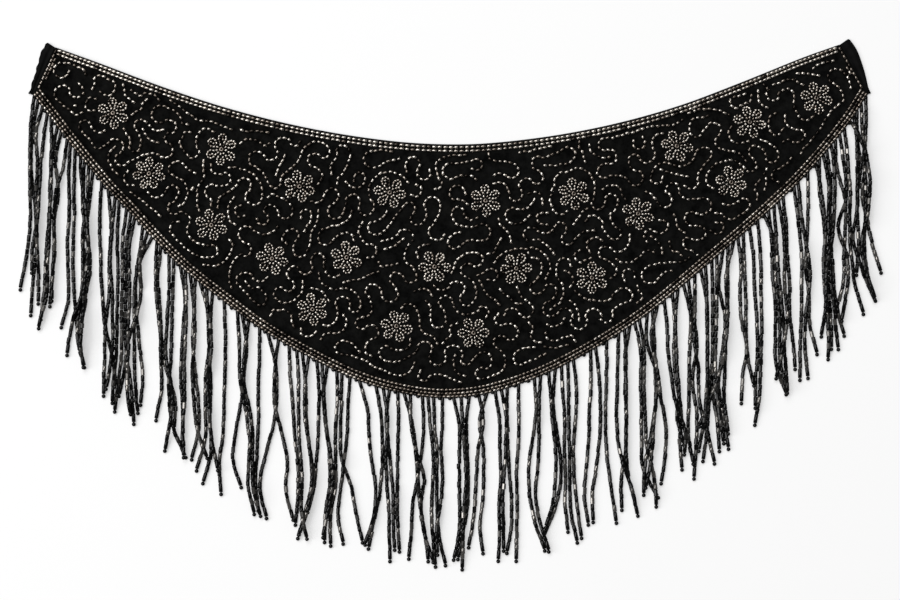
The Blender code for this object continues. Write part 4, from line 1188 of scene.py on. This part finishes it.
class BELT_OT_fringe(bpy.types.Operator):
    """String the fringe: cut bugles, a long smooth bugle and a ball at each tip, on a scalloped heading"""

    bl_idname = "belt.fringe"
    bl_label = "Fringe"

    def execute(self, context):
        sizes = context.scene.belt_beads
        glass = black_cut_glass()
        bugles = [bead(sizes.bugle_length, sizes.bugle_diameter, rounding=0.2, cut=cut)
                  for cut in (True, False)]
        smooth = bead(END_TUBE, sizes.bugle_diameter * 0.98, rounding=0.3)
        small = bead(HEADING_PITCH * 0.96, HEADING_BEAD, rounding=0.3, cut=True, sides=HEADING_SIDES)
        knob, picot = ball(BALL), ball(PICOT)
        chance = random.Random(FRINGE_SEED + 2)
        lines = strand_lines()
        roots = [at for at, _ in lines]
        cuts = [0.0, *split_places(roots), lengths(LOWER)[-1]]
        picots = np.array([(a + b) / 2 for a, b in zip(roots, roots[1:]) if b - a > PICOT_ROOM])
        scale = lengths(moved_in(LOWER, HEADING_RADIUS))[-1] / cuts[-1]
        for number, (start, end) in enumerate(zip(cuts, cuts[1:])):
            count = round((end - start) / HEADING_PITCH)
            edge = self.edge_beads(chance, small, HEADING_INSET, HEADING_BEAD,
                                   scale * (start + (np.arange(count) + 0.5) * (end - start) / count))
            bumps = self.edge_beads(chance, picot, PICOT_INSET, PICOT * PICOT_SUNK,
                                    picots[(picots > start) & (picots < end)])
            strands = [part for at, line in lines if start <= at < end
                       for part in self.strand(chance, line, sizes, bugles, smooth, knob)]
            node = f"fringe_{number + 1:02d}"
            fringe = joined(f"{node}_beads", [edge, bumps, *strands], glass)
            stand_for(fringe, "black_beads", node)
        return {"FINISHED"}

    def edge_beads(self, chance, shape, inset, height, s):
        """Black beads inside the lower edge, at the distances s along the heading."""
        line = moved_in(LOWER, HEADING_RADIUS)
        way = at_length(line, s + HEADING_PITCH) - at_length(line, s - HEADING_PITCH)
        out = np.column_stack([way[:, 1], -way[:, 0]]) / np.linalg.norm(way, axis=1)[:, None]
        at = at_length(line, s) + out * (HEADING_RADIUS - inset)
        at = np.column_stack([at, np.full(len(s), FLOOR_GAP + height / 2)])
        way = tilted(chance, np.column_stack([way, np.zeros(len(s))]), degrees=6)
        return batch(shape, at, way, tones(chance, len(s), middle=0.2, spread=0.1, dim_share=0),
                     rolls(chance, len(s)), unevenness(chance, len(s), amount=0.12))

    def strand(self, chance, line, sizes, bugles, smooth, knob):
        """One strand's beads, root to tip: cut and round bugles between two long ones, and the ball."""
        whole = lengths(line)[-1]
        first, last = ROOT_TUBE, whole - BALL / 2 - END_TUBE
        count = round((last - first) / sizes.bugle_length)
        spans = np.array([chance.uniform(*BUGLE_ROOMS) for _ in range(count)])
        spans *= (last - first) / spans.sum()
        starts = first + np.cumsum(spans) - spans
        heads, tails = at_length(line, starts), at_length(line, starts + spans)
        way, at = tails - heads, (tails + heads) / 2
        middle, glinting = PALE if chance.random() < PALE_SHARE else DARK
        tone = tones(chance, count, middle, spread=0.24, dim_share=0)
        glints = np.array([chance.random() for _ in range(count)]) < glinting
        tone[glints] = [chance.uniform(*GLINTS) for _ in range(int(glints.sum()))]
        size = np.column_stack([np.ones(count), np.ones(count), spans * BUGLE_FILL / sizes.bugle_length])
        size[:, :2] *= np.array([[1 + chance.uniform(-BUGLE_UNEVEN, BUGLE_UNEVEN)] for _ in range(count)])
        at[:, 0] += [chance.gauss(0, BUGLE_STRAY) for _ in range(count)]
        at[:, 2] += BUGLE_RISE
        way = tilted(chance, way, degrees=3)
        roll = rolls(chance, count, CUT_TURN)
        cut = np.array([chance.random() for _ in range(count)]) < CUT_SHARE
        body = [batch(shape, at[mask], way[mask], tone[mask], roll[mask], size[mask])
                for shape, mask in zip(bugles, (cut, ~cut))]
        ends = at_length(line, [0.0, ROOT_TUBE, last, whole - BALL / 2])
        ends[0, :2] += (ends[0] - ends[1])[:2] * ROOT_REACH / ROOT_TUBE
        end_way = ends[1::2] - ends[::2]
        tubes = batch(smooth, (ends[1::2] + ends[::2]) / 2, end_way, np.array([0.1, 0.15]), None,
                      np.array([[0.95, 0.95, (ROOT_TUBE + ROOT_REACH) / END_TUBE], [1.0, 1.0, 0.98]]))
        return *body, tubes, batch(knob, line[-1:], end_way[1:], [0.1])


# The sheet runs on this far each way, so that a low view still ends on it.
FLOOR_REACH = 6.0
# A long lens, as for a flat lay, and where it stands over the belt.
LENS, FILM = 80.0, 36.0
CAMERA_AT = (-0.00165, -0.0154)


class BELT_OT_stage(bpy.types.Operator):
    """Lay the white sheet, which glows as painted light, and set the soft lights and the camera straight
    above the belt
    """

    bl_idname = "belt.stage"
    bl_label = "Stage"

    def execute(self, context):
        settings = context.scene.belt_stage
        made = bmesh.new()
        bmesh.ops.create_grid(made, x_segments=2, y_segments=2, size=FLOOR_REACH)
        mesh = bpy.data.meshes.new("floor")
        made.to_mesh(mesh)
        made.free()
        floor = show("floor", mesh, white_paper(settings))
        # The beads mirror the dark room, not the sheet, as they do with black cards set round them.
        floor.visible_glossy = False
        self.lamp("key_softbox", place=(-0.75, 1.75, 3.5), size=(2.5, 2.5), power=settings.key_power)
        self.lamp("side_softbox", place=(-3.1, -0.4, 3.1), size=(2.25, 3.75), power=settings.fill_power)
        world = bpy.data.worlds.new("studio")
        world.use_nodes = True
        ground = world.node_tree.nodes["Background"]
        ground.inputs["Color"].default_value = (1, 1, 1, 1)
        ground.inputs["Strength"].default_value = settings.sky
        context.scene.world = world
        context.scene.view_settings.view_transform = "Standard"
        lens = bpy.data.cameras.new("camera")
        lens.lens, lens.sensor_width = LENS, FILM
        camera = bpy.data.objects.new("camera", lens)
        camera.location = (*CAMERA_AT, settings.camera_height)
        context.scene.collection.objects.link(camera)
        context.scene.camera = camera
        return {"FINISHED"}

    def lamp(self, name, place, size, power):
        """A softbox that faces the belt."""
        data = bpy.data.lights.new(name, "AREA")
        data.shape, data.energy = "RECTANGLE", power
        data.size, data.size_y = size
        lamp = bpy.data.objects.new(name, data)
        lamp.location = place
        lamp.rotation_euler = lamp.location.to_track_quat("Z", "Y").to_euler()
        bpy.context.scene.collection.objects.link(lamp)


STEPS = (
    BELT_OT_panel_cloth, BELT_OT_end_tabs, BELT_OT_rim_beads, BELT_OT_bead_lines, BELT_OT_flowers,
    BELT_OT_fringe, BELT_OT_stage,
)


class BELT_PT_sidebar(bpy.types.Panel):
    """The belt's pieces and sizes in the sidebar"""

    bl_idname = "BELT_PT_sidebar"
    bl_label = "Beaded Belt"
    bl_space_type = "VIEW_3D"
    bl_region_type = "UI"
    bl_category = "Beaded Belt"

    def draw(self, context):
        for step in STEPS:
            self.layout.operator(step.bl_idname)
        for group in ("belt_cloth", "belt_beads", "belt_stage"):
            box = self.layout.box()
            settings = getattr(context.scene, group)
            for name in settings.bl_rna.properties.keys():
                if name not in ("rna_type", "name"):
                    box.prop(settings, name)


CLASSES = (ClothSettings, BeadSettings, StageSettings, *STEPS, BELT_PT_sidebar)
GROUPS = {"belt_cloth": ClothSettings, "belt_beads": BeadSettings, "belt_stage": StageSettings}


def register():
    for part in CLASSES:
        bpy.utils.register_class(part)
    for name, group in GROUPS.items():
        setattr(bpy.types.Scene, name, bpy.props.PointerProperty(type=group))


def unregister():
    for name in GROUPS:
        delattr(bpy.types.Scene, name)
    for part in reversed(CLASSES):
        bpy.utils.unregister_class(part)


def main():
    register()
    for step in STEPS:
        group, name = step.bl_idname.split(".")
        getattr(getattr(bpy.ops, group), name)()


if __name__ == "__main__":
    main()
